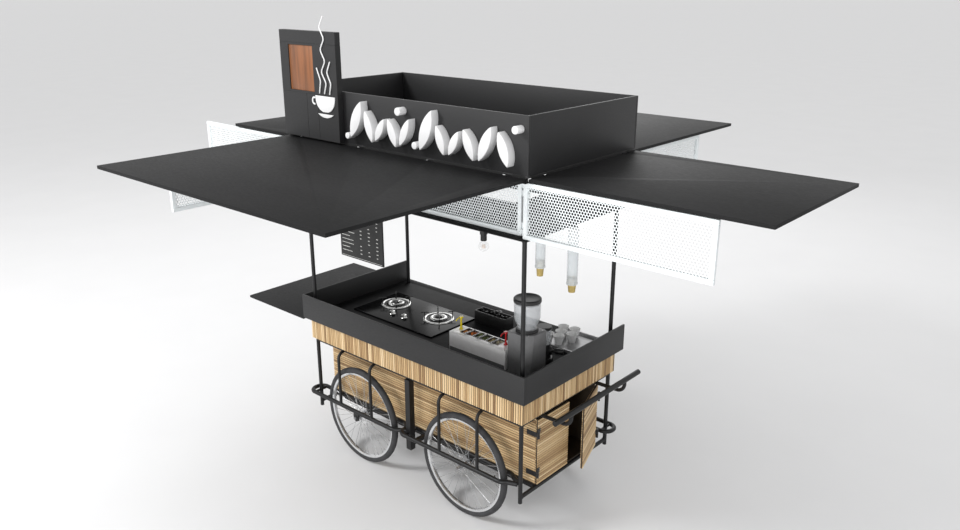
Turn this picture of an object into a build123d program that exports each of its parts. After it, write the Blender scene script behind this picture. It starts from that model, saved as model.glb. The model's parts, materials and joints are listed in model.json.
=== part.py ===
from build123d import *
import os
import math

# Folding push vending cart: four bicycle wheels, a slatted cabinet, a worktop
# with an apron, a canopy box on posts, hinged roof flaps carried by swinging
# perforated leaves, a folding side shelf and the serving equipment on top.
# All sizes are in millimetres. The front of the cart faces -Y.

# ---------------- driving dimensions ----------------
FRAME_SHIFT_X = -121.5      # moves the cart so the origin is under the middle of its box

CART_L = 1900.0             # apron and canopy box length, along X
CART_W = 985.0              # apron and canopy box width, along Y
HX, HY = CART_L / 2, CART_W / 2

POST_X, POST_Y, POST_R = 888.0, 431.0, 12.5
POST_Z0, POST_Z1 = 261.0, 2160.8
RAIL_Z = 760.0              # counter rail under the slatted band
TOP_RAIL_Z = 1823.0
LOW_Z = 294.0               # lower frame

WHEEL_R = 332.5             # 26 inch wheel over its tyre
WHEEL_X = 457.0
TYRE_R = 21.0
RIM_R1, RIM_R0, RIM_W = 297.5, 283.0, 27.0
HUB_R, HUB_HALF = 20.0, 35.0
AXLE_R, HUB_BORE_R = 6.0, 6.05
SPOKES = 24

GUARD_Z, GUARD_R, GUARD_OFF = 378.0, 14.0, 55.0
HOOP_R, HOOP_DX = 10.0, 152.0

BAND_X, BAND_Y, BAND_T = 915.0, 459.0, 12.0
BAND_Z0, BAND_Z1 = 773.0, 918.8
TOP_Z0, TOP_Z1 = 919.0, 933.0
APRON_T, APRON_Z0, APRON_Z1 = 12.0, 919.0, 1085.0

CAB_X0, CAB_X1, CAB_Y = -905.0, 885.0, 298.0
CAB_Z0, CAB_Z1, CAB_T = 307.0, 742.0, 12.0
DOOR_T, DOOR_Z0, DOOR_Z1 = 18.0, 318.0, 738.0
DOOR_AX, DOOR_AY = 912.0, 303.0
DOOR_OPEN = 19.5            # rest angle of the back leaf

BOX_Z0, BOX_Z1, BOX_T = 2161.0, 2467.0, 15.0
FLAP_T, FLAP_L, FLAP_LEFT_L = 18.0, 1240.0, 620.0
FLAP_AX_Z = 2151.0
FLAP_OFF = 6.0              # hinge line outside the box wall

LEAF_Z0, LEAF_Z1, LEAF_T = 1842.0, 2135.0, 20.0
LEAF_BORE = 12.55
LEAF_LONG, LEAF_MID, LEAF_SHORT = 1040.0, 891.0, 805.0

SHELF_L, SHELF_T, SHELF_AX_X, SHELF_AX_Z = 622.0, 15.0, -960.0, 911.0

HANDLE_X, HANDLE_Z, HANDLE_R, HANDLE_HALF = 1105.0, 842.0, 16.0, 421.0
HANDLE_ARM_Y, HANDLE_ARM_R = 270.0, 11.0

SIGN_X0, SIGN_X1, SIGN_Y0, SIGN_Y1 = -936.0, -418.0, -533.0, -493.0
SIGN_Z0, SIGN_Z1 = 2173.0, 2799.0

HOB = (-775.0, -32.0, -200.0, 219.0)
BURNERS = [(-619.0, 52.0), (-208.0, 52.0)]
KNOBS = [(-505.0, -90.0), (-393.0, -90.0)]
CB = (166.0, 610.0, -243.0, -118.0)
CB_H = 122.0
PUMPS = [(201.0, -170.0), (555.0, -170.0)]
GR_X, GR_Y = 720.0, -182.0
JAR_X, JAR_Y = 690.0, 20.0

os.makedirs("parts", exist_ok=True)


# ---------------- helpers ----------------
def box(x0, x1, y0, y1, z0, z1):
    return Pos((x0 + x1) / 2, (y0 + y1) / 2, (z0 + z1) / 2) * Box(abs(x1 - x0), abs(y1 - y0), abs(z1 - z0))


def cyl(r, p, q):
    p, q = Vector(*p), Vector(*q)
    d = q - p
    return Plane(origin=p, z_dir=d.normalized()) * Cylinder(r, d.length, align=(Align.CENTER, Align.CENTER, Align.MIN))


def cone(r0, r1, x, y, z0, z1):
    if r0 == r1:
        return cyl(r0, (x, y, z0), (x, y, z1))
    return Pos(x, y, z0) * Cone(r0, r1, z1 - z0, align=(Align.CENTER, Align.CENTER, Align.MIN))


def tube(points, radii, r):
    line = FilletPolyline(*points, radius=radii) if radii else Polyline(*points)
    sec = Plane(origin=line @ 0, z_dir=line % 0) * Circle(r)
    return sweep(sec, path=line)


def save(name, shape, rot=None):
    solids = []
    for s in (shape if isinstance(shape, (list, tuple)) else [shape]):
        solids += list(s.solids())
    moved = [Pos(FRAME_SHIFT_X, 0, 0) * s for s in solids]
    out = moved[0] if len(moved) == 1 else Compound(children=moved)
    out.label = name
    export_step(out, "parts/%s.step" % name)


CORNERS = [(sx * POST_X, sy * POST_Y) for sx in (-1, 1) for sy in (-1, 1)]
posts = [cyl(POST_R, (x, y, POST_Z0), (x, y, POST_Z1)) for x, y in CORNERS]
post_cut = [cyl(POST_R + 0.05, (x, y, POST_Z0 - 20), (x, y, POST_Z1 + 20)) for x, y in CORNERS]


def clear_posts(s, r=None):
    for c in post_cut:
        s = s - c
    return s


# ---------------- steel frame ----------------
save("corner_posts", posts)

lower = []
for sx in (-1, 1):
    lower.append(clear_posts(cyl(12.5, (sx * POST_X, -POST_Y, LOW_Z), (sx * POST_X, POST_Y, LOW_Z))))
for sy in (-1, 1):
    lower.append(box(-POST_X + 12.6, POST_X - 12.6, sy * 285 - 12.5, sy * 285 + 12.5, LOW_Z - 12.4, LOW_Z + 12.4))
    lower.append(box(-20, 20, sy * POST_Y - 20, sy * POST_Y + 20, POST_Z0, RAIL_Z - 12.6))
    lower.append(box(-12.5, 12.5, sy * 297.6, sy * (POST_Y - 20.1), LOW_Z - 12.4, LOW_Z + 12.4))
lower.append(box(-12.5, 12.5, -272.4, 272.4, LOW_Z - 12.4, LOW_Z + 12.4))
save("lower_frame", lower)


def ring_rails(z, r):
    out = []
    for sy in (-1, 1):
        out.append(clear_posts(cyl(r, (-POST_X, sy * POST_Y, z), (POST_X, sy * POST_Y, z))))
    for sx in (-1, 1):
        out.append(clear_posts(cyl(r, (sx * POST_X, -POST_Y, z), (sx * POST_X, POST_Y, z))))
    return out


save("frame_rails", ring_rails(RAIL_Z, POST_R - 0.2) + ring_rails(TOP_RAIL_Z, POST_R - 0.2))


# ---------------- wheel guards with dropout plates ----------------
def guard(x_a, x_b, flip):
    # one stadium loop: half circle round the leg at x_a, closing on the leg at x_b
    yc = -POST_Y
    out_run = tube([(x_a, yc - GUARD_OFF, GUARD_Z), (x_b - 105, yc - GUARD_OFF, GUARD_Z), (x_b - 70, yc - 28, GUARD_Z), (x_b - 16, yc - 8, GUARD_Z)], [60, 30], GUARD_R)
    in_run = tube([(x_a, yc + GUARD_OFF, GUARD_Z), (x_b - 105, yc + GUARD_OFF, GUARD_Z), (x_b - 70, yc + 28, GUARD_Z), (x_b - 16, yc + 8, GUARD_Z)], [60, 30], GUARD_R)
    arc = CenterArc((x_a, yc, GUARD_Z), GUARD_OFF, 90, 180)
    end = sweep(Plane(origin=arc @ 0, z_dir=arc % 0) * Circle(GUARD_R), path=arc)
    leg_b = post_cut[2] if x_b else box(-20.1, 20.1, yc - 20.1, yc + 20.1, 200, 700)
    leg_a = post_cut[0] if x_a else box(-20.1, 20.1, yc - 20.1, yc + 20.1, 200, 700)
    ends = []
    for run in (out_run, in_run):
        ends.append(max((run - leg_b).solids(), key=lambda s: s.volume))
    struts = (cyl(9, (x_a, yc - GUARD_OFF, GUARD_Z), (x_a, yc + GUARD_OFF, GUARD_Z)) - leg_a).solids()
    g = ends[0] + ends[1] + end
    for st in struts:
        g = g + st
    return g


def guards(flip):
    g1 = guard(-POST_X, 0, False)
    g2 = guard(0, POST_X, False)
    g = g1 + g2
    for xw in (-WHEEL_X, WHEEL_X):
        for dy in (-GUARD_OFF, GUARD_OFF):
            y = -POST_Y + dy
            sgn = 1 if dy < 0 else -1
            ya, yb = y - 4 * sgn, y + 3 * sgn
            plate = box(xw - 24, xw + 24, min(ya, yb), max(ya, yb), WHEEL_R - 14, GUARD_Z)
            plate += cyl(24, (xw, min(ya, yb), WHEEL_R), (xw, max(ya, yb), WHEEL_R))
            plate -= cyl(AXLE_R + 0.1, (xw, y - 20, WHEEL_R), (xw, y + 20, WHEEL_R))
            g += plate
    if flip:
        g = Rot(0, 0, 180) * g
    return g



hoops = []
for sy in (-1, 1):
    for xw in (-WHEEL_X, WHEEL_X):
        for dx in (-HOOP_DX, HOOP_DX):
            x = xw + dx
            ytube = sy * (POST_Y + GUARD_OFF)
            yr = sy * (POST_Y + POST_R - 0.2)
            h = tube([(x, ytube, GUARD_Z + 4), (x, ytube, 744), (x, yr - sy * 8, 757)], [42], HOOP_R)
            h -= cyl(GUARD_R + 0.05, (x - 60, ytube, GUARD_Z), (x + 60, ytube, GUARD_Z))
            h -= cyl(POST_R - 0.15, (x - 60, sy * POST_Y, RAIL_Z), (x + 60, sy * POST_Y, RAIL_Z))
            hoops.append(max(h.solids(), key=lambda s: s.volume))
save("wheel_guards", [guards(False), guards(True)] + hoops)

axles = []
for sy in (-1, 1):
    for xw in (-WHEEL_X, WHEEL_X):
        y = sy * POST_Y
        a = cyl(AXLE_R, (xw, y - 73, WHEEL_R), (xw, y + 73, WHEEL_R))
        for s in (-1, 1):
            a += cyl(10, (xw, y + s * (HUB_HALF + 0.4), WHEEL_R), (xw, y + s * (GUARD_OFF - 3.2), WHEEL_R))
            nut = Plane(origin=(xw, y + s * (GUARD_OFF + 4.2), WHEEL_R), z_dir=(0, s, 0)) * extrude(RegularPolygon(9.5, 6), 9)
            a += nut
        axles.append(a)
save("axles", axles)

# ---------------- wheels ----------------
tyre0 = Rot(90, 0, 0) * (Torus(WHEEL_R - TYRE_R, TYRE_R) - Cylinder(RIM_R1 + 0.1, 60))
rim0 = Cylinder(RIM_R1, RIM_W) - Cylinder(RIM_R0, RIM_W + 2)
hub0 = Cylinder(HUB_R - 4, 2 * HUB_HALF)
for s in (-1, 1):
    hub0 += Pos(0, 0, s * 27) * Cylinder(HUB_R + 6, 5)
wheel0 = rim0 + hub0
for i in range(SPOKES):
    a = 2 * math.pi * i / SPOKES
    s = 1 if i % 2 else -1
    r0, r1 = HUB_R + 3, RIM_R0 + 3
    b = a + (0.35 if (i // 2) % 2 else -0.35)
    wheel0 += cyl(1.6, (r0 * math.cos(b), r0 * math.sin(b), s * 27), (r1 * math.cos(a), r1 * math.sin(a), s * 4))
wheel0 -= Cylinder(HUB_BORE_R, 200)
wheel0 = Rot(90, 0, 0) * wheel0
for n, sx, sy in (("fl", -1, -1), ("fr", 1, -1), ("bl", -1, 1), ("br", 1, 1)):
    at = Pos(sx * WHEEL_X, sy * POST_Y, WHEEL_R)
    save("tyre_" + n, at * tyre0)
    save("spoked_rim_" + n, at * wheel0)

# ---------------- cabinet ----------------
save("cabinet_shell", [
    box(CAB_X0, CAB_X1, -CAB_Y, CAB_Y, CAB_Z0, CAB_Z0 + 10),
    box(CAB_X0, CAB_X1, -CAB_Y, -CAB_Y + CAB_T, CAB_Z0 + 10.1, CAB_Z1),
    box(CAB_X0, CAB_X1, CAB_Y - CAB_T, CAB_Y, CAB_Z0 + 10.1, CAB_Z1),
    box(CAB_X0, CAB_X0 + CAB_T, -CAB_Y + CAB_T + 0.1, CAB_Y - CAB_T - 0.1, CAB_Z0 + 10.1, CAB_Z1),
])

HINGE_Z = (400.0, 656.0)


def door(sy):
    # closed leaf with its two hinge knuckles, hinge line at (DOOR_AX, sy * DOOR_AY)
    d = box(CAB_X1 + 2, CAB_X1 + 2 + DOOR_T, sy * 1.0, sy * 297.0, DOOR_Z0, DOOR_Z1)
    for z in HINGE_Z:
        k = box(CAB_X1 + 2 + DOOR_T, DOOR_AX, sy * 268, sy * DOOR_AY, z + 0.5, z + 30)
        k = k - box(CAB_X1 + 2 + DOOR_T + 3, DOOR_AX + 9, sy * 260, sy * (DOOR_AY - 5), z - 10, z + 60)
        k += cyl(7, (DOOR_AX, sy * DOOR_AY, z + 0.5), (DOOR_AX, sy * DOOR_AY, z + 30))
        d += k
    for z in HINGE_Z:
        d -= cyl(3.05, (DOOR_AX, sy * DOOR_AY, z - 40), (DOOR_AX, sy * DOOR_AY, z + 60))
    return d


save("cabinet_door_front", door(-1))
back = door(1)
ax = Pos(DOOR_AX, DOOR_AY, 0) * Rot(0, 0, DOOR_OPEN) * Pos(-DOOR_AX, -DOOR_AY, 0)
save("cabinet_door_back", ax * back)

# ---------------- counter ----------------
save("counter_band", [
    box(-BAND_X, BAND_X, -BAND_Y, -BAND_Y + BAND_T, BAND_Z0, BAND_Z1),
    box(-BAND_X, BAND_X, BAND_Y - BAND_T, BAND_Y, BAND_Z0, BAND_Z1),
    box(-BAND_X, -BAND_X + BAND_T, -BAND_Y + BAND_T + 0.1, BAND_Y - BAND_T - 0.1, BAND_Z0, BAND_Z1),
    box(BAND_X - BAND_T, BAND_X, -BAND_Y + BAND_T + 0.1, BAND_Y - BAND_T - 0.1, BAND_Z0, BAND_Z1),
])
save("countertop", clear_posts(box(-HX + APRON_T + 0.1, HX - APRON_T - 0.1, -HY + APRON_T + 0.1, HY, TOP_Z0, TOP_Z1)))
save("counter_apron", [
    box(-HX, HX, -HY, -HY + APRON_T, APRON_Z0, APRON_Z1),
    box(-HX, -HX + APRON_T, -HY + APRON_T + 0.1, HY, APRON_Z0, APRON_Z1),
    box(HX - APRON_T, HX, -HY + APRON_T + 0.1, HY, APRON_Z0, APRON_Z1),
])

# ---------------- canopy box and flaps ----------------
# ceiling boards lying on the top rails, with a hatch above the vendor
CZ0, CZ1 = 1835.6, 1841.4
boards = [box(-946, 946, -488.5, 70, CZ0, CZ1), box(-946, -415, 70.3, 488.5, CZ0, CZ1), box(415, 946, 70.3, 488.5, CZ0, CZ1)]
for sx in (-1, 1):
    for sy in (-1, 1):
        hole = cyl(POST_R + 0.5, (sx * POST_X, sy * POST_Y, CZ0 - 2), (sx * POST_X, sy * POST_Y, CZ1 + 2))
        boards = [b - hole for b in boards]
save("ceiling_boards", boards)
save("canopy_box", [
    box(-HX, HX, -HY, HY, BOX_Z0, BOX_Z0 + 12),
    box(-HX, HX, -HY, -HY + BOX_T, BOX_Z0 + 12.1, BOX_Z1),
    box(-HX, HX, HY - BOX_T, HY, BOX_Z0 + 12.1, BOX_Z1),
    box(-HX, -HX + BOX_T, -HY + BOX_T + 0.1, HY - BOX_T - 0.1, BOX_Z0 + 12.1, BOX_Z1),
    box(HX - BOX_T, HX, -HY + BOX_T + 0.1, HY - BOX_T - 0.1, BOX_Z0 + 12.1, BOX_Z1),
])

PIN_R, PIN_BORE = 4.0, 4.05


def flap(length, half, tabs):
    # flap lying along -Y from its hinge line, in local axes: hinge line is local X at the origin
    f = box(-half, half, -(length - FLAP_OFF), 0, -FLAP_T / 2, FLAP_T / 2)
    f += cyl(FLAP_T / 2, (-half, 0, 0), (half, 0, 0))
    for t in tabs:
        f -= box(t - 17, t + 17, -16, 12, -20, 20)
    f -= cyl(PIN_BORE, (-half - 5, 0, 0), (half + 5, 0, 0))
    return f


def rod(half, tabs, top):
    # hinge rod carried by tabs that hang from the box floor
    r = cyl(PIN_R, (-half + 2, 0, 0), (half - 2, 0, 0))
    for t in tabs:
        tab = cyl(8.5, (t - 14, 0, 0), (t + 14, 0, 0)) + box(t - 14, t + 14, -8.5, 26, -4, top)
        r += tab
    return r


FX_TABS = (-820.0, -280.0, 280.0, 820.0)
FY_TABS = (-380.0, 380.0)
HALF_X, HALF_Y = HX - 10, HY - 8
TAB_TOP = BOX_Z0 - FLAP_AX_Z
place_front = Pos(0, -(HY + FLAP_OFF), FLAP_AX_Z)
place_back = Pos(0, HY + FLAP_OFF, FLAP_AX_Z) * Rot(0, 0, 180)
place_right = Pos(HX + FLAP_OFF, 0, FLAP_AX_Z) * Rot(0, 0, 90)
place_left = Pos(-(HX + FLAP_OFF), 0, FLAP_AX_Z) * Rot(0, 0, -90)
save("roof_flap_front", place_front * flap(FLAP_L, HALF_X, FX_TABS))
save("roof_flap_back", place_back * flap(FLAP_L, HALF_X, FX_TABS))
save("roof_flap_right", place_right * flap(FLAP_L, HALF_Y, FY_TABS))
save("roof_flap_left", place_left * flap(FLAP_LEFT_L, HALF_Y, FY_TABS))

# side shelf, hinged under the left apron wall
SHELF_HALF = HY - 4
SHELF_TABS = (-400.0, 0.0, 400.0)
sh = box(-SHELF_HALF, SHELF_HALF, -SHELF_L, 0, -SHELF_T / 2, SHELF_T / 2) + cyl(SHELF_T / 2, (-SHELF_HALF, 0, 0), (SHELF_HALF, 0, 0))
for t in SHELF_TABS:
    sh -= box(t - 12, t + 12, -14, 12, -20, 20)
sh -= cyl(PIN_BORE, (-SHELF_HALF - 5, 0, 0), (SHELF_HALF + 5, 0, 0))
place_shelf = Pos(SHELF_AX_X, 0, SHELF_AX_Z) * Rot(0, 0, -90)
save("side_shelf", place_shelf * sh)
sr = cyl(PIN_R, (-SHELF_HALF + 2, 0, 0), (SHELF_HALF - 2, 0, 0))
for t in SHELF_TABS:
    sr += cyl(7, (t - 9, 0, 0), (t + 9, 0, 0)) + box(t - 9, t + 9, 0, 44, -7, -1) + box(t - 9, t + 9, 12, 20, -7, TOP_Z0 - SHELF_AX_Z)

rods = [place_front * rod(HALF_X, FX_TABS, TAB_TOP), place_back * rod(HALF_X, FX_TABS, TAB_TOP),
        place_right * rod(HALF_Y, FY_TABS, TAB_TOP), place_left * rod(HALF_Y, FY_TABS, TAB_TOP),
        place_shelf * sr]
for sy in (-1, 1):
    for z in HINGE_Z:
        p = cyl(3, (DOOR_AX, sy * DOOR_AY, z - 30), (DOOR_AX, sy * DOOR_AY, z + 29))
        p += cyl(7, (DOOR_AX, sy * DOOR_AY, z - 30), (DOOR_AX, sy * DOOR_AY, z))
        p += box(CAB_X1 - 60, DOOR_AX - 2, sy * (CAB_Y + 0.1), sy * (CAB_Y + 3.1), z - 30, z)
        rods.append(p)
save("hinge_rods", rods)


# ---------------- perforated leaves ----------------
def leaf(start, length, off, bands, arm_side):
    # leaf lying along local +X, hinge line is local Z at the origin
    t = LEAF_T / 2
    f = box(start, start + length, off - t, off + t, LEAF_Z0, LEAF_Z1) - box(start + 25, start + length - 25, off - t - 1, off + t + 1, LEAF_Z0 + 25, LEAF_Z1 - 25)
    f += box(start + 20, start + length - 20, off - 1.0, off + 1.0, LEAF_Z0 + 20, LEAF_Z1 - 20)
    for z0, z1 in bands:
        f += cyl(17, (0, 0, z0), (0, 0, z1))
        if off:
            s = 1 if off > 0 else -1
            f += box(5, start + 12, min(0, s * 8), max(0, s * 8), z0, z1) + box(start, start + 12, min(0, off), max(0, off), z0, z1)
        else:
            f += box(5, start + 5, -6, 6, z0, z1)
    for z0, z1 in bands:
        f -= cyl(LEAF_BORE, (0, 0, z0 - 5), (0, 0, z1 + 5))
    if start < 19:
        gap = box(-20, 19, -20, 20, LEAF_Z0 - 1, LEAF_Z1 + 1)
        for z0, z1 in bands:
            gap -= box(-20, 20, -20, 20, z0, z1)
        f -= gap
    return f


BAND_A = [(1850, 1880), (2096, 2126)]
BAND_B = [(1888, 1918), (2056, 2086)]


def put(x, y, deg, s):
    return Pos(x, y, 0) * Rot(0, 0, deg) * s


save("mesh_leaf_front_left", put(-POST_X, -POST_Y, -90, leaf(49, LEAF_MID, 0, BAND_A, 1)))
save("mesh_leaf_front_right", put(POST_X, -POST_Y, 180, leaf(19, LEAF_SHORT, 0, BAND_A, 1)))
save("mesh_leaf_right", put(POST_X, -POST_Y, 0, leaf(19, LEAF_LONG, -34, BAND_B, 1)))
save("mesh_leaf_left", put(-POST_X, -POST_Y, 180, leaf(19, LEAF_LONG, 34, BAND_B, 1)))
save("mesh_leaf_back_right", put(POST_X, POST_Y, 90, leaf(49, LEAF_MID, 0, BAND_A, 1)))
save("mesh_leaf_back_left", put(-POST_X, POST_Y, 0, leaf(19, LEAF_SHORT, 0, BAND_A, 1)))

# ---------------- push handle ----------------
hx0 = POST_X + POST_R - 0.1
hd = cyl(HANDLE_R, (HANDLE_X, -HANDLE_HALF, HANDLE_Z), (HANDLE_X, HANDLE_HALF, HANDLE_Z))
for sy in (-1, 1):
    y = sy * HANDLE_ARM_Y
    hd += tube([(POST_X, y, RAIL_Z), (HANDLE_X, y, RAIL_Z + 4), (HANDLE_X, y, HANDLE_Z)], [52], HANDLE_ARM_R)
hd -= cyl(POST_R - 0.15, (POST_X, -500, RAIL_Z), (POST_X, 500, RAIL_Z))
hd = max(hd.solids(), key=lambda s: s.volume)
save("push_handle", hd)

# ---------------- sign ----------------
INS = (-857.0, -627.0, 2452.0, 2716.0)
sb = box(SIGN_X0, SIGN_X1, SIGN_Y0, SIGN_Y1, SIGN_Z0, SIGN_Z1)
sb -= box(INS[0], INS[1], SIGN_Y0 - 1, SIGN_Y0 + 16, INS[2], INS[3])
save("sign_board", sb)
save("sign_inset", box(INS[0] + 0.3, INS[1] - 0.3, SIGN_Y0 + 6, SIGN_Y0 + 15.8, INS[2] + 0.3, INS[3] - 0.3))

CUPX, CUPZ = -527.0, 2405.0
yi = SIGN_Y0 - 0.1


icon = []
prof = make_face([
    Line((-88, 30), (88, 30)),
    Spline((88, 30), (70, -32), (22, -62), tangents=((0, -1), (-1, -0.25))),
    Line((22, -62), (-22, -62)),
    Spline((-22, -62), (-70, -32), (-88, 30), tangents=((-1, 0.25), (0, 1))),
])
icon_plane = Plane(origin=(CUPX, yi, CUPZ), x_dir=(1, 0, 0), z_dir=(0, -1, 0))
icon.append(icon_plane * extrude(prof, 5))
saucer = make_face([Line((-70, -74), (70, -74)), Spline((70, -74), (30, -92), (-30, -92), (-70, -74))])
icon.append(icon_plane * extrude(saucer, 5))
ring = Pos(-100, -2) * (Ellipse(22, 24) - Ellipse(13, 15)) - Pos(0, 0) * Rectangle(186, 200)
icon.append(icon_plane * extrude(ring, 5))
for dx, z1, amp in ((-46, 190, 16), (0, 480, 20), (46, 230, 16)):
    n = int((z1 - 44) // 60)
    n = max(2, n)
    step = (z1 - 44) / n
    pts = [(CUPX + dx + (amp if i % 2 else -amp) * (0 if i in (0,) else 1), yi - 4.2, CUPZ + 44 + step * i) for i in range(n + 1)]
    icon.append(tube(pts, [min(38, step * 0.42)] * (n - 1), 4))
save("sign_icon", icon)


def lens(w, h):
    # pointed oval of width w and height h
    R = (h * h + w * w) / (4 * w)
    return (Pos(R - w / 2, 0) * Circle(R)) & (Pos(-(R - w / 2), 0) * Circle(R))


orn_plane = Plane(origin=(0, -HY - 0.1, 0), x_dir=(1, 0, 0), z_dir=(0, -1, 0))
orn = []
ORN = [(-255, 2330, 74, 230, 24), (-150, 2300, 58, 180, -18), (-58, 2292, 50, 150, 30), (40, 2286, 56, 160, -22), (138, 2300, 52, 170, 26),
       (300, 2330, 76, 236, 22), (404, 2290, 54, 160, -20), (500, 2286, 50, 150, 28), (602, 2290, 56, 168, -24), (712, 2308, 62, 200, 24), (830, 2296, 60, 180, -20)]
for x, z, w, h, tilt in ORN:
    orn.append(orn_plane * extrude(Pos(x, z) * Rot(0, 0, -tilt) * lens(w, h), 54))
for x, z, r in ((90, 2408, 22), (215, 2240, 20), (-352 + 20, 2230, 18), (905, 2400, 20)):
    orn.append(orn_plane * extrude(Pos(x, z) * Circle(r), 54))
save("front_ornaments", orn)

# ---------------- hob ----------------
hx0_, hx1_, hy0_, hy1_ = HOB
glass = box(hx0_, hx1_, hy0_, hy1_, TOP_Z1 + 0.1, TOP_Z1 + 10)
glass = chamfer(glass.edges().group_by(Axis.Z)[-1], 2)
save("hob_glass", glass)
GZ = TOP_Z1 + 10.1
burn = []
for x, y in BURNERS:
    b = cone(103, 99, x, y, GZ, GZ + 7) - cone(84, 84, x, y, GZ - 1, GZ + 20)
    burn.append(b)
    b = cone(58, 54, x, y, GZ, GZ + 14) - cone(34, 34, x, y, GZ + 4, GZ + 20)
    b += cone(24, 20, x, y, GZ, GZ + 22)
    burn.append(b)
save("hob_burners", burn)
sup = []
for x, y in BURNERS:
    for k in range(4):
        a = math.radians(47 + 90 * k)
        c, s = math.cos(a), math.sin(a)
        arm = Plane(origin=(x, y, 0), x_dir=(c, s, 0), z_dir=(0, 0, 1)) * (
            box(89, 96, -3, 3, GZ + 7.4, GZ + 52) + box(66, 118, -3, 3, GZ + 45, GZ + 52))
        sup.append(arm)
save("pan_supports", sup)
for i, (x, y) in enumerate(KNOBS):
    k = cone(21, 19, x, y, GZ + 0.4, GZ + 22)
    k = fillet(k.edges().group_by(Axis.Z)[-1], 3)
    k += box(x - 3, x + 3, y - 18, y + 18, GZ + 20, GZ + 28)
    save("hob_knob_%s" % ("left", "right")[i], k)

# ---------------- condiment station ----------------
x0, x1, y0, y1 = CB
Z0 = TOP_Z1 + 0.1
ZT = Z0 + CB_H
cb = box(x0, x1, y0, y1, Z0, ZT)
cb = fillet(cb.edges().filter_by(Axis.Z), 6)
PANX = [(x0 + 61 + 51 * i, x0 + 61 + 51 * i + 45) for i in range(6)]
for a, b in PANX:
    cb -= box(a, b, y0 + 34, y1 - 12, ZT - 62, ZT + 1)
for px_, py_ in PUMPS:
    cb -= cyl(8.1, (px_, py_, ZT - 60), (px_, py_, ZT + 1))
save("condiment_box", cb)
pans = []
for a, b in PANX:
    p = box(a + 0.5, b - 0.5, y0 + 34.5, y1 - 12.5, ZT - 61, ZT + 2.5)
    p -= box(a + 2, b - 2, y0 + 36, y1 - 14, ZT - 32, ZT + 5)
    pans.append(p)
save("condiment_pans", pans)
for i, (px_, py_) in enumerate(PUMPS):
    st = cyl(8.0, (px_, py_, ZT - 34), (px_, py_, ZT + 16)) + cyl(5.0, (px_, py_, ZT + 14), (px_, py_, ZT + 78))
    st += cone(13.5, 13.5, px_, py_, ZT + 73, ZT + 84)
    st += tube([(px_, py_, ZT + 78), (px_, py_ - 36, ZT + 78), (px_, py_ - 46, ZT + 66)], [8], 4.2)
    save("pump_%s" % ("yellow", "red")[i], st)

# ---------------- grinder ----------------
gb = Pos(GR_X, GR_Y, Z0) * extrude(RectangleRounded(160, 160, 8), 262)
gb -= Pos(GR_X + 80, GR_Y - 80, Z0 + 131) * Rot(0, 0, -45) * Rot(0, -5.2, 0) * Pos(10, 0, 0) * Box(60, 140, 320)
gb -= box(GR_X - 46, GR_X + 46, GR_Y + 46, GR_Y + 90, Z0 + 56, Z0 + 176)
gb += cyl(13, (GR_X, GR_Y + 60, Z0 + 140), (GR_X, GR_Y + 60, Z0 + 180))
gb += cone(62, 58, GR_X, GR_Y, Z0 + 261, Z0 + 282)
gb -= cone(46, 46, GR_X, GR_Y, Z0 + 250, Z0 + 290)
save("grinder_body", gb)
HZ = Z0 + 282.1
hop = cone(50, 75, GR_X, GR_Y, HZ, HZ + 62) + cone(75, 77, GR_X, GR_Y, HZ + 62, HZ + 158)
hop -= cone(46.5, 71.5, GR_X, GR_Y, HZ + 2.5, HZ + 62.5) + cone(71.5, 73.5, GR_X, GR_Y, HZ + 62.4, HZ + 160)
save("grinder_hopper", hop)
lid = cone(80, 77, GR_X, GR_Y, HZ + 158.5, HZ + 182) + cone(72.5, 72.5, GR_X, GR_Y, HZ + 148, HZ + 159)
lid = fillet(lid.edges().group_by(Axis.Z)[-1], 5)
save("grinder_lid", lid)

# second grinder with a doser jar
jb = cone(58, 52, JAR_X, JAR_Y, Z0, Z0 + 22) + cone(44, 40, JAR_X, JAR_Y, Z0 + 22, Z0 + 110)
jb += cyl(24, (JAR_X, JAR_Y, Z0 + 66), (JAR_X + 46, JAR_Y + 21, Z0 + 66)) + cyl(8, (JAR_X + 40, JAR_Y + 18.3, Z0 + 66), (JAR_X + 74, JAR_Y + 33.8, Z0 + 66))
jb += cyl(18, (JAR_X + 66, JAR_Y + 30.1, Z0 + 66), (JAR_X + 108, JAR_Y + 49.3, Z0 + 66))
save("doser_base", jb)
jj = cone(41, 44, JAR_X, JAR_Y, Z0 + 110.2, Z0 + 204) - cone(38.5, 41.5, JAR_X, JAR_Y, Z0 + 113, Z0 + 208)
save("doser_jar", jj)
jl = cone(47, 44, JAR_X, JAR_Y, Z0 + 204.5, Z0 + 220) + cone(40.5, 40.5, JAR_X, JAR_Y, Z0 + 196, Z0 + 205)
save("doser_lid", jl)

# ---------------- drainer, box, cups ----------------
tx0, tx1, ty0, ty1 = 520.0, 862.0, 190.0, 470.0
tray = box(tx0, tx1, ty0, ty1, Z0, Z0 + 22) - box(tx0 + 3, tx1 - 3, ty0 + 3, ty1 - 3, Z0 + 4, Z0 + 30)
tray += box(tx0 - 6, tx1 + 6, ty0 - 6, ty0 + 2, Z0 + 19, Z0 + 22) + box(tx0 - 6, tx1 + 6, ty1 - 2, ty1 + 6, Z0 + 19, Z0 + 22)
cby = box(-18, 243, 198, 284, Z0, Z0 + 78)
cby -= box(-12, 237, 204, 278, Z0 + 6, Z0 + 90)
save("counter_trays", [tray, cby])
cups = []
CUPS = [(553, 250), (625, 262), (591, 330), (669, 340), (560, 400), (640, 412)]
for i, (x, y) in enumerate(CUPS):
    c = cone(21, 36, x, y, Z0 + 4.1, Z0 + 62) - cone(18, 33.5, x, y, Z0 + 8, Z0 + 64)
    cups.append(c)
save("cups", cups)

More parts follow.
